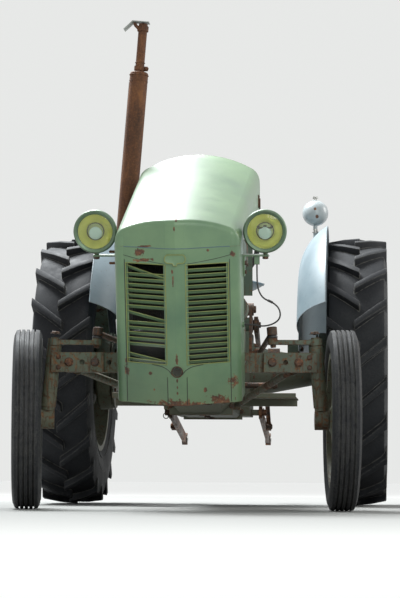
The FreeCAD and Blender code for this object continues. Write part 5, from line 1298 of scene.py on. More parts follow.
def radiatorCore():
    chosen = radiatorSet
    half, front = chosen["half"], chosen["front"]
    pitch = 2 * half / chosen["tubes"]
    rows = []
    for face, way in ((front, -1), (chosen["rear"], 1)):
        tube = slab((-1.4, -1.6, chosen["foot"]), (1.4, 1.6, chosen["top"]), 0.6, 1)
        shifted(tube, fromFront(0, face + way * 0.9, 0))
        rows += copied(tube,
                       [((-half + pitch * (number + 0.5), 0, 0), up, 0) for number in range(chosen["tubes"])])
    finished("radiator_tubes", rows, "radiatorBlack", "chassis")
    spacing = (chosen["top"] - chosen["foot"]) / chosen["fins"]
    fin = slab((-half + 1, front + 1.2, 0), (half - 1, front + 0.2, 0.5), 0.1, 1)
    shifted(fin, fromFront(0, -0.8, chosen["foot"] + 2))
    fins = copied(fin, [((0, 0, spacing * number), up, 0) for number in range(chosen["fins"])])
    finished("radiator_fins", fins, "darkIron", "chassis")
    neck = fromFront(*chosen["neck"])
    cap = turned([(-1, 30), (7, 30), (9, 27), (10, 12), (14, 11), (16, 8)], 36, neck)
    ears = [shifted(slab((sign * 26 - 7, -8, 0), (sign * 26 + 7, 8, 6), 2.5), neck) for sign in (1, -1)]
    overflow = pipeAlong([fromFront(*point) for point in chosen["overflow"]], 4, 2)
    finished("radiator_cap", [cap] + ears + [overflow], "brightSteel", "chassis")
    clamps = [ring(chosen["hose"], 1.6, fromFront(*place), way, 32, 6) for place, way, _ in chosen["clamps"]]
    clamps += boltsAt([(fromFront(*place) + Vector(beside), right, 0) for place, _,
                       beside in chosen["clamps"]],
                      8, 5, False)
    finished("hose_clamps", clamps, "brightSteel", "chassis")


def beltLoop():
    # the outermost points of the pulleys' circles, joined and given the belt's width and thickness
    chosen = beltSet
    rim = []
    for x, z, radius in chosen["pulleys"]:
        for step in range(chosen["sides"]):
            angle = 2 * math.pi / chosen["sides"] * step
            rim.append((x + radius * math.cos(angle), z + radius * math.sin(angle)))
    rim.sort()
    halves = []
    for ordered in (rim, rim[::-1]):
        chain = []
        for point in ordered:
            while len(chain) > 1 and ((chain[-1][0] - chain[-2][0]) * (point[1] - chain[-2][1])
                                      - (chain[-1][1] - chain[-2][1]) * (point[0] - chain[-2][0])) <= 0:
                chain.pop()
            chain.append(point)
        halves += chain[:-1]
    selectOnly()
    bpy.ops.mesh.primitive_circle_add(vertices=len(halves), radius=1, fill_type="NOTHING")
    belt = bpy.context.object
    for corner, (x, z) in zip(belt.data.vertices, halves):
        corner.co = fromFront(x, chosen["y"] - chosen["wide"] / 2, z)
    editAll(belt)
    bpy.ops.mesh.extrude_region_move(TRANSFORM_OT_translate={"value": (0, chosen["wide"], 0)})
    bpy.ops.object.mode_set(mode="OBJECT")
    return modified(outwards(belt), "SOLIDIFY", thickness=chosen["thick"], offset=0)


radiatorCore()
finished("fan_belt", [beltLoop()], "blackCase", "chassis")
print("radiator and belt")


# engine dress: rocker nuts, oil cap, dipstick, plugs, bands, distributor and carburettor lever

engineSet = {"rocker": (-6, 984), "rockerNuts": (170, 455), "oilCap": (-6, 312, 983),
             "plugRow": (148, 260, 372, 484), "plugWay": (14, 0, 34), "coverNuts": (120, 204, 316, 428, 488),
             "stick": ((124, 520, 590), (126, 520, 690), (132, 520, 760), (142, 520, 800)),
             "stickLoop": (143, 520, 809), "stickTube": (124, 520, 584), "distributor": (160, 340, 891),
             "towerCircle": 18.0, "throttleShaft": (-173, 305, 806), "throttleArm": (-184, 305, 800),
             "throttleNut": (-150, 351, 746), "coilCap": (172, 430, 751)}
bandRows = (                                   # radius, thickness, sides, direction and places of each row
    (58.6, 1.8, 48, up, ((-192, 133, 662), (-192, 133, 806), (-192, 133, 826))),
    (40.6, 1.5, 40, up, ((172, 430, 634), (172, 430, 724))),
    (52.6, 1.5, 44, back, ((184, 92, 792), (184, 236, 792))),
    (42.6, 1.4, 40, back, ((166, 456, 614), (166, 572, 614))),
)


def engineDress():
    chosen = engineSet
    x, z = chosen["rocker"]
    iron = []
    for y in chosen["rockerNuts"]:
        iron.append(turned([(0, 13), (6, 13), (8, 11), (16, 11), (18, 8)], 8, fromFront(x, y, z)))
        iron.append(turned([(-0.5, 17), (2, 17), (3, 14)], 24, fromFront(x, y, z)))
    slope = Vector(chosen["plugWay"]).normalized()
    iron += [turned([(2, 13), (12, 13), (13, 10)], 6, fromFront(98, y, 922), slope)
             for y in chosen["plugRow"]]
    iron += boltsAt([(fromFront(-153, y, 916), up, 0) for y in chosen["coverNuts"]], 17, 9)
    finished("engine_nuts", iron, "darkIron", "chassis")
    filler = fromFront(*chosen["oilCap"])
    cap = turned([(0, 24), (16, 24), (18, 30), (26, 30), (29, 26), (30, 12)], 32, filler)
    wing = shifted(slab((-22, -3, 28), (22, 3, 36), 2), filler)
    finished("oil_filler_cap", [cap, wing], "castPaint", "chassis")
    stick = pipeAlong([fromFront(*point) for point in chosen["stick"]], 2.6, 2)
    loop = ring(9, 2, fromFront(*chosen["stickLoop"]), back, 24, 6)
    tube = turned([(0, 6), (44, 6), (46, 4)], 12, fromFront(*chosen["stickTube"]))
    finished("dipstick", [stick, loop, tube], "brightSteel", "chassis")
    plugs = [turned([(0, 5), (12, 5), (13, 6.5), (20, 6), (28, 4), (30, 4), (31, 3)], 14,
                    fromFront(112, y, 954),
                    slope) for y in chosen["plugRow"]]
    finished("spark_plugs", plugs, "plugWhite", "chassis")
    bands = [ring(radius, thick, fromFront(*place), way, sides, 6)
             for radius, thick, sides, way, places in bandRows for place in places]
    bands += boltsAt(roundOf(fromFront(184, 73, 792), ahead, 44, 4, 0.5), 8, 4, False)
    bands += boltsAt(roundOf(fromFront(166, 435, 614), ahead, 30, 3, 0.4), 8, 5, False)
    bands += [turned([(0, 10), (5, 10), (7, 7), (9, 7)], 6, fromFront(*chosen["coilCap"]), up)]
    middle, circle = fromFront(*chosen["distributor"]), chosen["towerCircle"]
    towers = [turned([(0, 6), (12, 5.4), (13, 3.4)], 12,
                     middle + Vector((circle * math.cos(angle), circle * math.sin(angle), 0)))
              for angle in (0.5, 2.07, 3.64, 5.2)]
    towers.append(turned([(0, 7), (16, 6), (17, 4)], 14, middle))
    finished("engine_bands", bands, "darkIron", "chassis")
    finished("distributor_towers", towers, "blackCase", "chassis")
    lever = [turned([(-9, 4), (9, 4)], 10, fromFront(*chosen["throttleShaft"]), left),
             shifted(slab((-3, -4, 0), (3, 4, 38), 2), fromFront(*chosen["throttleArm"]),
                     Matrix.Rotation(0.5, 4, "X"))]
    lever += boltsAt([(fromFront(*chosen["throttleNut"]), down, 0)], 15, 7)
    finished("carburettor_lever", lever, "brightSteel", "chassis")


engineDress()
print("engine dress")


# fuel tank and battery

tankSet = {"neck": (0, 610, 1139), "grips": 12, "straps": (270, 640), "strapBolt": (206, 1012),
           "seamY": 168.0,
           "over": ((-206.2, 1004), (-206.2, 1084), (-203, 1103), (-192, 1115), (-170, 1121.2), (170, 1121.2),
                    (192, 1115), (203, 1103), (206.2, 1084), (206.2, 1004)),
           "seam": ((-205, 1060), (0, 1060), (205, 1060))}
batterySet = {"top": 1135.0, "cells": 6, "firstCell": -78.0, "cellPitch": 31.0, "cellY": 800.0,
              "posts": (-88, 88),
              "postY": 846.0, "clampY": 850.0, "rods": (-118.5, 118.5), "rodY": 819.0, "rodFoot": 958.0,
              "barTop": 1144.0}


def tankDress():
    chosen = tankSet
    neck = fromFront(*chosen["neck"])
    cap = turned([(-2, 35), (9, 35), (12, 32), (13, 14), (20, 12), (21, 8)], 40, neck)
    grips = [shifted(slab((34, -3, 0), (37.5, 3, 8), 1, 1), neck,
                     Matrix.Rotation(2 * math.pi / chosen["grips"] * number, 4, "Z"))
             for number in range(chosen["grips"])]
    finished("tank_cap", [cap] + grips, "brightSteel", "chassis")
    straps = []
    boltX, boltZ = chosen["strapBolt"]
    for y in chosen["straps"]:
        strap = pipeAlong([(x, 0, z) for x, z in chosen["over"]], 2.4, 1, 2)
        straps.append(shifted(strap, fromFront(0, y, 0), Matrix.Diagonal((1, 7, 1, 1))))
        straps += boltsAt([(fromFront(sign * boltX, y, boltZ), (sign, 0, 0), 0) for sign in (1, -1)], 13, 6)
    seam = pipeAlong([fromFront(x, chosen["seamY"], z) for x, z in chosen["seam"]], 1.6, 1, 2)
    finished("tank_straps", straps + [seam], "darkIron", "chassis")


def batteryDress():
    chosen = batterySet
    top, rodY, barTop = chosen["top"], chosen["rodY"], chosen["barTop"]
    lids = [turned([(-1, 15), (3, 15), (5, 12), (6, 5)], 20,
                   fromFront(chosen["firstCell"] + chosen["cellPitch"] * number, chosen["cellY"], top))
            for number in range(chosen["cells"])]
    rib = shifted(slab((-112, 764, 1128), (112, 870, 1137), 2), fromFront(0, 0, 0))
    finished("battery_lids", lids + [rib], "batteryLid", "chassis")
    posts = [turned([(0, 10), (12, 8.6), (15, 8)], 18, fromFront(x, chosen["postY"], top))
             for x in chosen["posts"]]
    clamps = [shifted(slab((-12, -15, 3), (12, 15, 12), 2.5), fromFront(x, chosen["clampY"], top))
              for x in chosen["posts"]]
    bar = shifted(slab((-122, rodY - 7, barTop - 6), (122, rodY + 7, barTop), 1.5), fromFront(0, 0, 0))
    rods = [turned([(0, 4), (194, 4), (195, 3)], 10, fromFront(x, rodY, chosen["rodFoot"]))
            for x in chosen["rods"]]
    nuts = boltsAt([(fromFront(x, rodY, barTop), up, 0) for x in chosen["rods"]], 12, 6)
    finished("battery_clamp", posts + clamps + [bar] + rods + nuts, "brightSteel", "chassis")


# dash: gauges with marks and needles, knobs and switch

dashSet = {"gauges": ((0, 1110, 46, 12), (-112, 1084, 27, 5), (112, 1084, 27, 5)),       # x, z, radius, marks
           "face": 909.0, "rimY": 921.0, "dialY": 914.0, "sweep": 260.0, "needle": -62.0,
           "knobs": (-150, -40, 40, 150),
           "knobZ": 1010.0, "switchZ": 950.0, "lights": (-70, 70), "lightZ": 1040.0}


def dashGauges():
    chosen = dashSet
    dialY = chosen["dialY"]
    rims, faces, marks = [], [], []
    for x, z, radius, count in chosen["gauges"]:
        rims.append(ring(radius - 1.8, 2.6, fromFront(x, chosen["rimY"], z - 0.8), back, 48, 8))
        faces.append(turned([(0, radius - 4), (1.2, radius - 4.2)], 48, fromFront(x, dialY, z), back))
        for number in range(count):
            turn = math.radians(chosen["sweep"] * (number / (count - 1) - 0.5))
            mark = slab((-0.7, -0.2, radius * 0.64), (0.7, 0.2, radius * 0.78), 0.1, 1)
            marks.append(shifted(mark, fromFront(x, dialY + 1.6, z), Matrix.Rotation(turn, 4, "Y")))
        needle = cutOut([(-1.5, -radius * 0.15), (1.5, -radius * 0.15), (0.5, radius * 0.66),
                         (-0.5, radius * 0.66)],
                        0.8, 0)
        marks.append(shifted(needle, fromFront(x, dialY + 3.4, z),
                             Matrix.Rotation(math.radians(chosen["needle"]), 4, "Y")
                             @ Matrix.Rotation(math.pi / 2, 4, "X")))
        marks.append(turned([(0, 3.4), (3, 3.4), (4, 2)], 16, fromFront(x, dialY + 2, z), back))
    finished("gauge_rims", rims, "brightSteel", "chassis")
    finished("gauge_faces", faces, "gaugeFace", "chassis")
    finished("gauge_marks", marks, "plugWhite", "chassis")


def dashControls():
    chosen = dashSet
    face = chosen["face"]
    knobs = [turned([(0, 9), (3, 9), (4, 5), (14, 5), (15, 9), (22, 10), (25, 7)], 24,
                    fromFront(x, face, chosen["knobZ"]), back) for x in chosen["knobs"]]
    finished("dash_knobs", knobs, "blackCase", "chassis")
    switch = [turned([(0, 15), (3, 15), (4, 12), (9, 11), (10, 9)], 28,
                     fromFront(0, face, chosen["switchZ"]), back)]
    switch += [turned([(0, 7), (4, 7), (8, 4)], 18, fromFront(x, face, chosen["lightZ"]), back)
               for x in chosen["lights"]]
    finished("dash_switch", switch, "brightSteel", "chassis")


tankDress()
batteryDress()
dashGauges()
dashControls()
print("tank, battery and dash")


# edges and trim of the bonnet

bonnetSet = {"crown": 450.0, "shoulder": 65.0, "rearHalf": 254.0, "noseHalf": 233.0, "rearTop": 1240.0,
             "browTop": 1106.0, "seam": 1000.0, "apexY": -332.0, "rearY": 880.0, "sideEdgeY": -71.4,
             "catch": (800, 1052), "acrossNose": (-198, -120, -36, 0, 36, 120, 198), "noseFoot": 405.0,
             "studs": (958, 914), "studY": -88.0, "arcSteps": 5}
# black sheets behind the louvre banks: painted shade that keeps the inside of the nose dark
shadeSheetRows = (((178, -168, 562), (232, -164, 996)), ((-232, -168, 562), (-178, -164, 996)),
              # low and high corners before the bonnet is tipped
              ((-226, -184, 562), (226, -180, 672)))
# black beads drawn on the nose as painted shadow in its grooves and along the swoops to the crank hole
# proud, radius, smoothness, order and (x, z) points on the nose
grooveShadowRows = (
    (0.2, 1.3, 1, 2, [(196.5, z) for z in (406, 520, 640, 760, 860, 952)]),
    (0.4, 1.2, 1, 2, [(36.6, z) for z in (406, 440, 480, 512)]),
    (0.4, 1.4, 1, 3, [(96, 556), (64, 553), (42, 545), (27, 534), (20, 522)]),
    (0.3, 1.0, 1, 3, [(200, 968), (170, 961), (140, 955), (80, 946), (44, 942)]),
)


def alongBonnet(y, front, rear):
    chosen = bonnetSet
    share = (y - chosen["apexY"]) / (chosen["rearY"] - chosen["apexY"])
    return chosen[front] + (chosen[rear] - chosen[front]) * share


def bonnetHalf(y):
    return alongBonnet(y, "noseHalf", "rearHalf")


def bonnetArch(y, inset):
    # points over the bonnet from one foot to the other, at one distance along it
    chosen = bonnetSet
    half, top = bonnetHalf(y) - inset, alongBonnet(y, "browTop", "rearTop") - inset
    crown, shoulder = chosen["crown"] - inset, chosen["shoulder"] - inset
    across = half - shoulder
    centre = top - crown + math.sqrt((crown - shoulder) ** 2 - across ** 2)
    touch = math.asin(across / (crown - shoulder))
    arch = [(half, chosen["seam"] + inset), (half, (chosen["seam"] + centre) / 2), (half, centre)]
    steps = chosen["arcSteps"]
    for step in range(1, steps + 1):
        angle = math.pi / 2 - (math.pi / 2 - touch) * step / steps
        arch.append((across + shoulder * math.sin(angle), centre + shoulder * math.cos(angle)))
    for step in range(1, steps + 1):
        angle = touch * (1 - step / steps)
        arch.append((crown * math.sin(angle), top - crown + crown * math.cos(angle)))
    return [onBonnet(x, y, z) for x, z in arch] + [onBonnet(-x, y, z) for x, z in arch[-2::-1]]


def bonnetEdges():
    chosen = bonnetSet
    beads = [pipeAlong(bonnetArch(chosen["rearY"] - 3.2, 2.0), 3.2, 2)]
    for side in sideName:
        feet = [onBonnet(side * (bonnetHalf(y) - 2.0), y, chosen["seam"] + 2.2) for y in (-64, 200, 500, 876)]
        beads.append(pipeAlong(feet, 2.6, 2, 2))
        edge = [onBonnet(side * (bonnetHalf(-70) - 2.0), chosen["sideEdgeY"], z)
                for z in (404, 560, 800, 998)]
        beads.append(pipeAlong(edge, 2.6, 2, 2))
    foot = [nosePoint(x, chosen["noseFoot"], -1.6) for x in chosen["acrossNose"]]
    beads.append(pipeAlong(foot, 2.8, 2, 2))
    finished("bonnet_beads", beads, "sheetPaintShadedGreen", "bonnet")
    # the crease bead carries a painted bluish sky reflection along the seam
    crease = pipeAlong([nosePoint(x, chosen["seam"], -0.2) for x in chosen["acrossNose"]], 1.5, 2, 2)
    finished("brow_crease", [crease], "creaseSeamAndSkyReflection", "bonnet")


def bonnetCatches():
    y, z = bonnetSet["catch"]
    catches = []
    for side in sideName:
        spot = onBonnet(side * (bonnetHalf(y) + 0.4), y, z)
        for piece in (slab((-1.5, -17, -26), (3.0, 17, 26), 1.4), slab((2.5, -6, -34), (8.5, 6, 12), 2.4)):
            catches.append(outwards(shifted(piece, spot, turnOnly @ Matrix.Diagonal((side, 1, 1, 1)))))
        catches += boltsAt([(onBonnet(side * (bonnetHalf(y) + 3.2), y, z + drop), (side, 0, 0), 0)
                            for drop in (-19, 19)], 7, 3, False)
    finished("bonnet_catches", catches, "darkIron", "bonnet")


def bonnetTrim():
    bonnetEdges()
    bonnetCatches()
    # black sheets as painted shade inside the nose
    shadeSheets = []
    for low, high in shadeSheetRows:
        shadeSheet = shifted(slab(low, high, 1.2), fromFront(0, 0, 0))
        shadeSheet.data.transform(tipTurn)
        shadeSheets.append(shadeSheet)
    finished("radiator_shade_sheets", shadeSheets, "blackCase", "bonnet")
    # black beads as painted shadow of the nose's grooves
    grooves = [pipeAlong([nosePoint(side * x, z, proud) for x, z in points], radius, around, order)
               for side in sideName for proud, radius, around, order, points in grooveShadowRows]
    finished("nose_groove_shadows", grooves, "blackCase", "bonnet")
    studs = []
    y = bonnetSet["studY"]
    for z in bonnetSet["studs"]:
        spot = onBonnet(-(bonnetHalf(y) - 3), y, z)
        studs += [turned([(0, 5), (36, 5), (38, 3.5)], 16, spot, right),
                  turned([(3, 9), (10, 9)], 6, spot, right)]
    finished("bracket_studs", studs, "rustySteel", "bonnet")


bonnetTrim()
print("bonnet trim")


# rolled edges of the fenders

fenderSet = {"x": 520.5, "z": 622.5, "radius": 678.0, "thick": 3.6, "from": -78.0, "sweep": 144.0,
             "steps": 18}


def fenderTrim(side):
    chosen = fenderSet
    arc = []
    for step in range(chosen["steps"] + 1):
        angle = math.radians(chosen["from"] + chosen["sweep"] * step / chosen["steps"])
        arc.append(fromRear(side * chosen["x"], -chosen["radius"] * math.sin(angle),
                            chosen["z"] + chosen["radius"] * math.cos(angle)))
    finished("fender_bead_" + sideName[side], [pipeAlong(arc, chosen["thick"], 2)], "panelPaintSkyReflection", "chassis")


for side in sideName:
    fenderTrim(side)
print("fender edges")


# seat: rolled rim, black discs as painted shade in the drain holes, and the bolt that holds the pan

seatSet = {"y": -70.0, "z": 958.0, "radius": 420.0, "rim": 6.0,
           "outline": ((0, -189), (80, -189), (148, -187), (182, -126), (212, -62), (219, 10), (219, 76),
                       (206, 126),
                       (188, 166), (142, 188), (90, 203), (42, 211), (0, 213)),
           "drains": ((70, 100), (118, 48), (118, -22), (62, -80)), "rearDrain": (0, 128)}


def onPan(x, y, above=0.0):
    chosen = seatSet
    reach = chosen["radius"] - above
    return fromRear(x, chosen["y"] + y,
                    chosen["z"] + chosen["radius"] - math.sqrt(reach ** 2 - x * x - y * y))


def seatTrim():
    chosen = seatSet
    half = list(chosen["outline"])
    outline = half + [(-x, y) for x, y in half[-2:0:-1]] + half[:1]
    rim = pipeAlong([onPan(x, y, 2.5) for x, y in outline], chosen["rim"], 3)
    finished("seat_rim", [rim], "panelPaintSkyReflection", "chassis")
    dome = fromRear(0, chosen["y"], chosen["z"] + chosen["radius"])
    drains = [(sign * x, y) for x, y in chosen["drains"] for sign in (1, -1)] + [chosen["rearDrain"]]
    # flat black discs on the pan as painted shade where the drain holes are
    holeShades = []
    for x, y in drains:
        spot = onPan(x, y, 4.4)
        holeShades.append(turned([(-0.4, 13), (0.5, 12.4), (0.2, 9), (-0.2, 8.8)], 24, spot, dome - spot))
    finished("seat_drain_shades", holeShades, "blackCase", "chassis")
    foot = onPan(0, 0, 4.6)
    bolt = [turned([(-1, 21), (2, 21), (3.5, 18)], 28, foot, up),
            turned([(1, 13), (6, 12), (9, 8), (10, 3)], 20, foot, up)]
    finished("seat_bolt", bolt, "darkIron", "chassis")


seatTrim()
print("seat")


# exhaust: bands, seam and clamps on the silencer, flange on the manifold

stackSet = {"lean": 4.3, "x": 309.0, "y": 750.0, "level": 1266.0, "seam": (1166, 1400, 1600, 1804),
            "seamOut": 39.2,
            "rings": ((39.6, 2.2, 48, 8, (1134, 1836)), (39.3, 1.2, 48, 6, (1160, 1810)),
                      (20.2, 1.8, 32, 6, (1872, 1890))),     # radius, thickness, sides, round and heights
            "clamps": ((1098, 23), (1866, 20.5)), "flange": (-153, 500, 890), "flangeBolts": (-25, 25)}
stackLean = math.radians(stackSet["lean"])
stackWay = Vector((math.sin(stackLean), 0, math.cos(stackLean)))


def stackPoint(z, out=0.0, y=0.0):
    chosen = stackSet
    middle = fromFront(-(chosen["x"] - (z - chosen["level"]) * math.tan(stackLean)), chosen["y"] + y, z)
    return middle + Vector((-math.cos(stackLean), 0, math.sin(stackLean))) * out


def stackTrim():
    chosen = stackSet
    bands = [ring(radius, thick, stackPoint(z), stackWay, sides, around)
             for radius, thick, sides, around, heights in chosen["rings"] for z in heights]
    bands.append(pipeAlong([stackPoint(z, chosen["seamOut"]) for z in chosen["seam"]], 1.6, 1, 2))
    for z, radius in chosen["clamps"]:
        bands.append(turned([(-9, radius + 1), (-9, radius + 3), (9, radius + 3), (9, radius + 1)], 32,
                            stackPoint(z), stackWay))
        bands += [shifted(slab((-3, -7, -9), (3, 7, 9), 1.2), stackPoint(z, -(radius + 8), y),
                          Matrix.Rotation(math.pi / 2, 4, "Z")) for y in (5, -5)]
        bands += boltsAt([(stackPoint(z, -(radius + 10), -8), ahead, 0)], 13, 7)
    finished("stack_bands", bands, "rustySteel", "chassis")
    x, y, z = chosen["flange"]
    flange = [shifted(slab((-34, -4, -22), (34, 4, 22), 3), fromFront(x, y, z))]
    flange += boltsAt([(fromFront(x + beside, y + 5, z), back, 0) for beside in chosen["flangeBolts"]], 17, 9)
    flange += boltsAt([(fromFront(x + beside, y - 5, z), ahead, 0) for beside in chosen["flangeBolts"]], 17,
                      7)
    finished("manifold_flange", flange, "rustySteel", "chassis")


stackTrim()
print("exhaust")


# three-point links: ball ends, pins, collars and the levelling box

linkSet = {"x": 202.0, "z": 430.0, "drop": 8.0, "length": 790.0, "rodAt": 400.0, "ballOut": 8.0,
           "pinX": 234.0,
           "collarX": 218.3, "rodPinX": 218.0, "rodLowX": 231.0, "rodHighX": 208.0, "crankAt": 78.0,
           "crank": ((0, 0, 0), (-40, 0, 4), (-46, 0, 10), (-46, 0, 60), (-50, 0, 66), (-84, 0, 68)),
           "grip": (-60, 0, 67),
           "ball": ((-15, 11.3), (-15, 17), (-9, 22.5), (0, 24.4), (9, 22.5), (15, 17), (15, 11.3))}


def linkTrim(side):
    chosen, name = linkSet, sideName[side]
    drop, z = math.radians(chosen["drop"]), chosen["z"]
    root = fromRear(side * chosen["x"], 0, z)
    along = Vector((0, math.cos(drop), -math.sin(drop)))
    ball = spun([(side * x, 0, radius) for x, radius in chosen["ball"]], 32)
    shifted(ball, root + along * chosen["length"] + Vector((side * chosen["ballOut"], 0, 0)))
    finished("link_ball_" + name, [outwards(ball)], "brightSteel", "lower_link_" + name)
    collar = turned([(0, 16), (3, 16), (4, 22), (7, 22), (8, 15), (20, 15), (21, 12)], 24,
                    fromRear(side * chosen["collarX"], 0, z), (side, 0, 0))
    pin = turned([(-15, 3), (15, 3)], 12, fromRear(side * chosen["pinX"], 0, z), (0, 0.3, 1))
    pull = ring(13, 2, fromRear(side * chosen["pinX"], 4, z - 16), back, 24, 6)
    finished("link_pin_" + name, [collar, pin, pull], "darkIron", "chassis")
    _, rodY, rodZ = root + along * chosen["rodAt"]
    top = Vector(joints["lift_rod_%s_swing" % name]["pos_m"]) / milli
    top.x = side * chosen["rodHighX"]
    way = (Vector((side * chosen["rodLowX"], rodY, rodZ)) - top).normalized()
    parts = [turned([(24, 15), (27, 15), (30, 9)], 6, (side * chosen["rodPinX"], rodY, rodZ), (side, 0, 0)),
             turned([(0, 13), (3, 15.5), (10, 15.5), (13, 13)], 20, top + way * 60, way),
             turned([(0, 12.6), (2, 14), (62, 14), (64, 12.6)], 20, top + way * 120, way)]
    if side < 0:                               # the levelling box and its crank
        start = top + way * chosen["crankAt"]
        parts += [turned([(0, 20), (4, 26), (30, 26), (36, 20), (44, 15)], 28, top + way * 62, way),
                  pipeAlong([start + Vector(point) for point in chosen["crank"]], 6, 3),
                  turned([(0, 9), (3, 10), (34, 10), (37, 8)], 18, start + Vector(chosen["grip"]), right)]
    finished("lift_rod_trim_" + name, parts, "darkIron", "lift_rod_" + name)


# power take-off, top link pin and the caps of the lift's cross shaft

driveSet = {"z": 520.0, "splines": 6, "cover": 148.0, "topPin": (0, 182, 690), "topPinRing": (-45, 186, 680),
            "shaftX": 196.0, "shaftZ": 840.0}


def driveShaft():
    chosen = driveSet
    z, y = chosen["z"], chosen["cover"]
    ribs = [shifted(slab((-4.2, 160, 16.8), (4.2, 222, 18.0), 0.6), fromRear(0, 0, z),
                    Matrix.Rotation(2 * math.pi / chosen["splines"] * number, 4, "Y"))
            for number in range(chosen["splines"])]
    seal = [turned([(0, 46), (5, 46), (7, 43), (8, 30), (4, 26), (4, 19)], 40, fromRear(0, y + 1, z), back)]
    seal += boltsAt(roundOf(fromRear(0, y + 6, z), back, 38, 6, 0.5), 11, 5, False)
    finished("drive_splines", ribs, "brightSteel", "chassis")
    cover = [turned([(0, 84), (6, 84), (9, 81), (9, 60)], 48, fromRear(0, y, z), back)]
    cover += boltsAt(roundOf(fromRear(0, y + 9, z), back, 72, 8, 0.4), 15, 7)
    finished("drive_cover", cover + seal, "castPaint", "chassis")
    pin = [turned([(-48, 7), (-47, 8.6), (44, 8.6), (46, 13), (54, 13), (55, 11)], 24,
                  fromRear(*chosen["topPin"]),
                  left),
           ring(12, 1.8, fromRear(*chosen["topPinRing"]), back, 24, 6)]
    finished("top_link_pin", pin, "brightSteel", "chassis")
    caps = []
    for side in sideName:
        x = chosen["shaftX"]
        caps.append(turned([(0, 27), (3, 27), (5, 22)], 32, fromRear(side * x, 0, chosen["shaftZ"]),
                           (side, 0, 0)))
        caps += boltsAt([(fromRear(side * (x + 4), 0, chosen["shaftZ"]), (side, 0, 0), 0)], 27, 9)
    finished("lift_shaft_caps", caps, "darkIron", "lift_arms")


for side in sideName:
    linkTrim(side)
driveShaft()
print("three-point links")


# gearbox and axle dress: covers and plugs

housingSet = {"top": ((-60, 640, 846), (60, 780, 856)), "doorX": 126.0, "doorBack": 5.0,
              "door": ((-2, 985, 566), (7, 1110, 690)), "doorBolts": (131.5, (995, 1100), (578, 678)),
              "sumpPlugs": ((0, 950, 400), (0, 1250, 400), (0, 1500, 400)), "rearPlug": (60, 60, 410),
              "frontPlug": (60, 480, 430), "breather": (-70, 1450, 820), "shaftNuts": (216.5, 960, 850)}


def housingDress():
    chosen = housingSet
    cast = [shifted(slab(*chosen["top"], 6), fromFront(0, 0, 0))]
    for side in sideName:
        x = side * chosen["doorX"] - (0 if side > 0 else chosen["doorBack"])
        cast.append(shifted(slab(*chosen["door"], 5), fromFront(x, 0, 0)))
    finished("housing_covers", cast, "castPaint", "chassis")
    x, rows, heights = chosen["doorBolts"]
    iron = boltsAt([(fromFront(side * x, y, z), (side, 0, 0), 0) for side in sideName for y in rows
                    for z in heights],
                   13, 6)
    iron += boltsAt([(fromFront(*place), down, 0) for place in chosen["sumpPlugs"]], 24, 9)
    iron += boltsAt([(fromRear(*chosen["rearPlug"]), down, 0), (fromFront(*chosen["frontPlug"]), down, 0)],
                    24, 9)
    iron.append(turned([(0, 11), (14, 11), (16, 15), (22, 15), (24, 12)], 20, fromFront(*chosen["breather"]),
                       up))
    x, y, z = chosen["shaftNuts"]
    iron += boltsAt([(fromFront(side * x, y, z), (side, 0, 0), 10) for side in sideName], 30, 12)
    finished("housing_plugs", iron, "darkIron", "chassis")


# ribs of the footrests and pedals, knobs and boots of the levers

stepSet = {"inner": 196.0, "outer": 394.0, "first": 1040.0, "pitch": 34.0, "ribs": 9, "lipInner": 191.0,
           "lipOuter": 399.0}
pedalSet = {"x": (300, -292, -352), "y": 1065.0, "z": 639.0, "rise": (36, 52), "ribs": 4, "slope": 55.0}
leverSet = {"knobs": ((86, 1432, 954), (-86, 1416, 908)),
            "boots": ((24, (0.46, 0.82, 1)), (-34, (-0.6, 1.0, 1))),
            "towerY": 1320.0, "towerZ": 829.0}


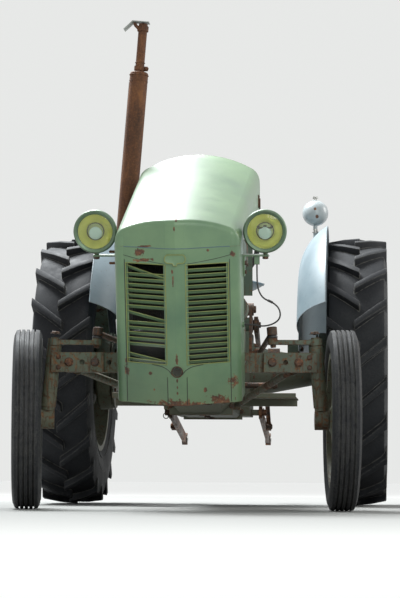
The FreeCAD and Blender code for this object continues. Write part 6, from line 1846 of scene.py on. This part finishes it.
def footDress():
    chosen = stepSet
    treads = []
    for side in sideName:
        low, high = sorted((side * chosen["inner"], side * chosen["outer"]))
        treads += [shifted(slab((low, -2.5, 475.4), (high, 2.5, 478.6), 1, 1),
                           fromFront(0, chosen["first"] + chosen["pitch"] * number, 0))
                   for number in range(chosen["ribs"])]
        low, high = sorted((side * chosen["lipInner"], side * chosen["lipOuter"]))
        treads.append(shifted(slab((low, 1018.5, 470), (high, 1022, 492), 1.4, 1), fromFront(0, 0, 0)))
    finished("footrest_ribs", treads, "castPaint", "chassis")
    chosen = pedalSet
    pads = []
    for x in chosen["x"]:
        for number in range(chosen["ribs"]):
            y, z = [start + rise * (number + 0.5) / chosen["ribs"]
                    for start, rise in zip((chosen["y"], chosen["z"]), chosen["rise"])]
            pads.append(shifted(slab((-24, -1.6, 0), (24, 1.6, 2.2), 0.8, 1), fromFront(x, y, z),
                                Matrix.Rotation(math.radians(chosen["slope"]), 4, "X")))
    finished("pedal_ribs", pads, "darkIron", "chassis")


def leverDress():
    chosen = leverSet
    knobs = [turned([(-15.4, 4), (-13, 9), (-7, 14.2), (0, 15.7), (7, 14.2), (13, 9), (15.6, 3)], 24,
                    fromFront(*place), up) for place in chosen["knobs"]]
    finished("lever_knobs", knobs, "blackCase", "chassis")
    boots = [turned([(0, 33), (4, 33), (8, 26), (11, 30), (15, 23), (18, 26), (22, 18), (25, 20), (30, 12),
                     (36, 10)],
                    32, fromFront(x, chosen["towerY"], chosen["towerZ"]), way) for x, way in chosen["boots"]]
    finished("lever_boots", boots, "blackCase", "chassis")


housingDress()
footDress()
leverDress()
print("housings")


# steering wheel: hub cap, and the throttle lever with its quadrant on the column

columnSet = {"hub": (0, 1270, 1160), "lean": 43.0, "clampDown": 92.0, "quadrantDown": 80.0,
             # down the column, across
             "throttle": ((76, 18), (74, 60), (70, 120), (58, 150)), "knob": (54, 154)}


def steeringTrim():
    chosen = columnSet
    middle = fromFront(*chosen["hub"])
    lean = math.radians(chosen["lean"])
    axis = Vector((0, math.cos(lean), math.sin(lean)))

    def onColumn(below, across=0.0):
        return middle - axis * below + Vector((across, 0, 0))

    cap = [turned([(9, 33), (13, 33), (17, 28), (19, 14), (19.5, 4)], 36, middle, axis)]
    cap += boltsAt([(onColumn(-18), axis, 0)], 27, 8)
    finished("steering_cap", cap, "blackCase", "steering_wheel")
    clamp = turned([(0, 26), (2, 28), (24, 28), (26, 26)], 32, onColumn(chosen["clampDown"]), axis)
    quadrant = shifted(slab((-2, -26, -3), (74, 26, 3), 2), onColumn(chosen["quadrantDown"]),
                       Vector((0, 0, 1)).rotation_difference(axis).to_matrix().to_4x4())
    throttle = pipeAlong([onColumn(*point) for point in chosen["throttle"]], 4, 2)
    knob = turned([(-9, 4), (-6, 8), (0, 10.5), (6, 8.6), (10, 4)], 20, onColumn(*chosen["knob"]), axis)
    finished("throttle_lever", [clamp, quadrant, throttle, knob], "darkIron", "chassis")


steeringTrim()
print("steering wheel")
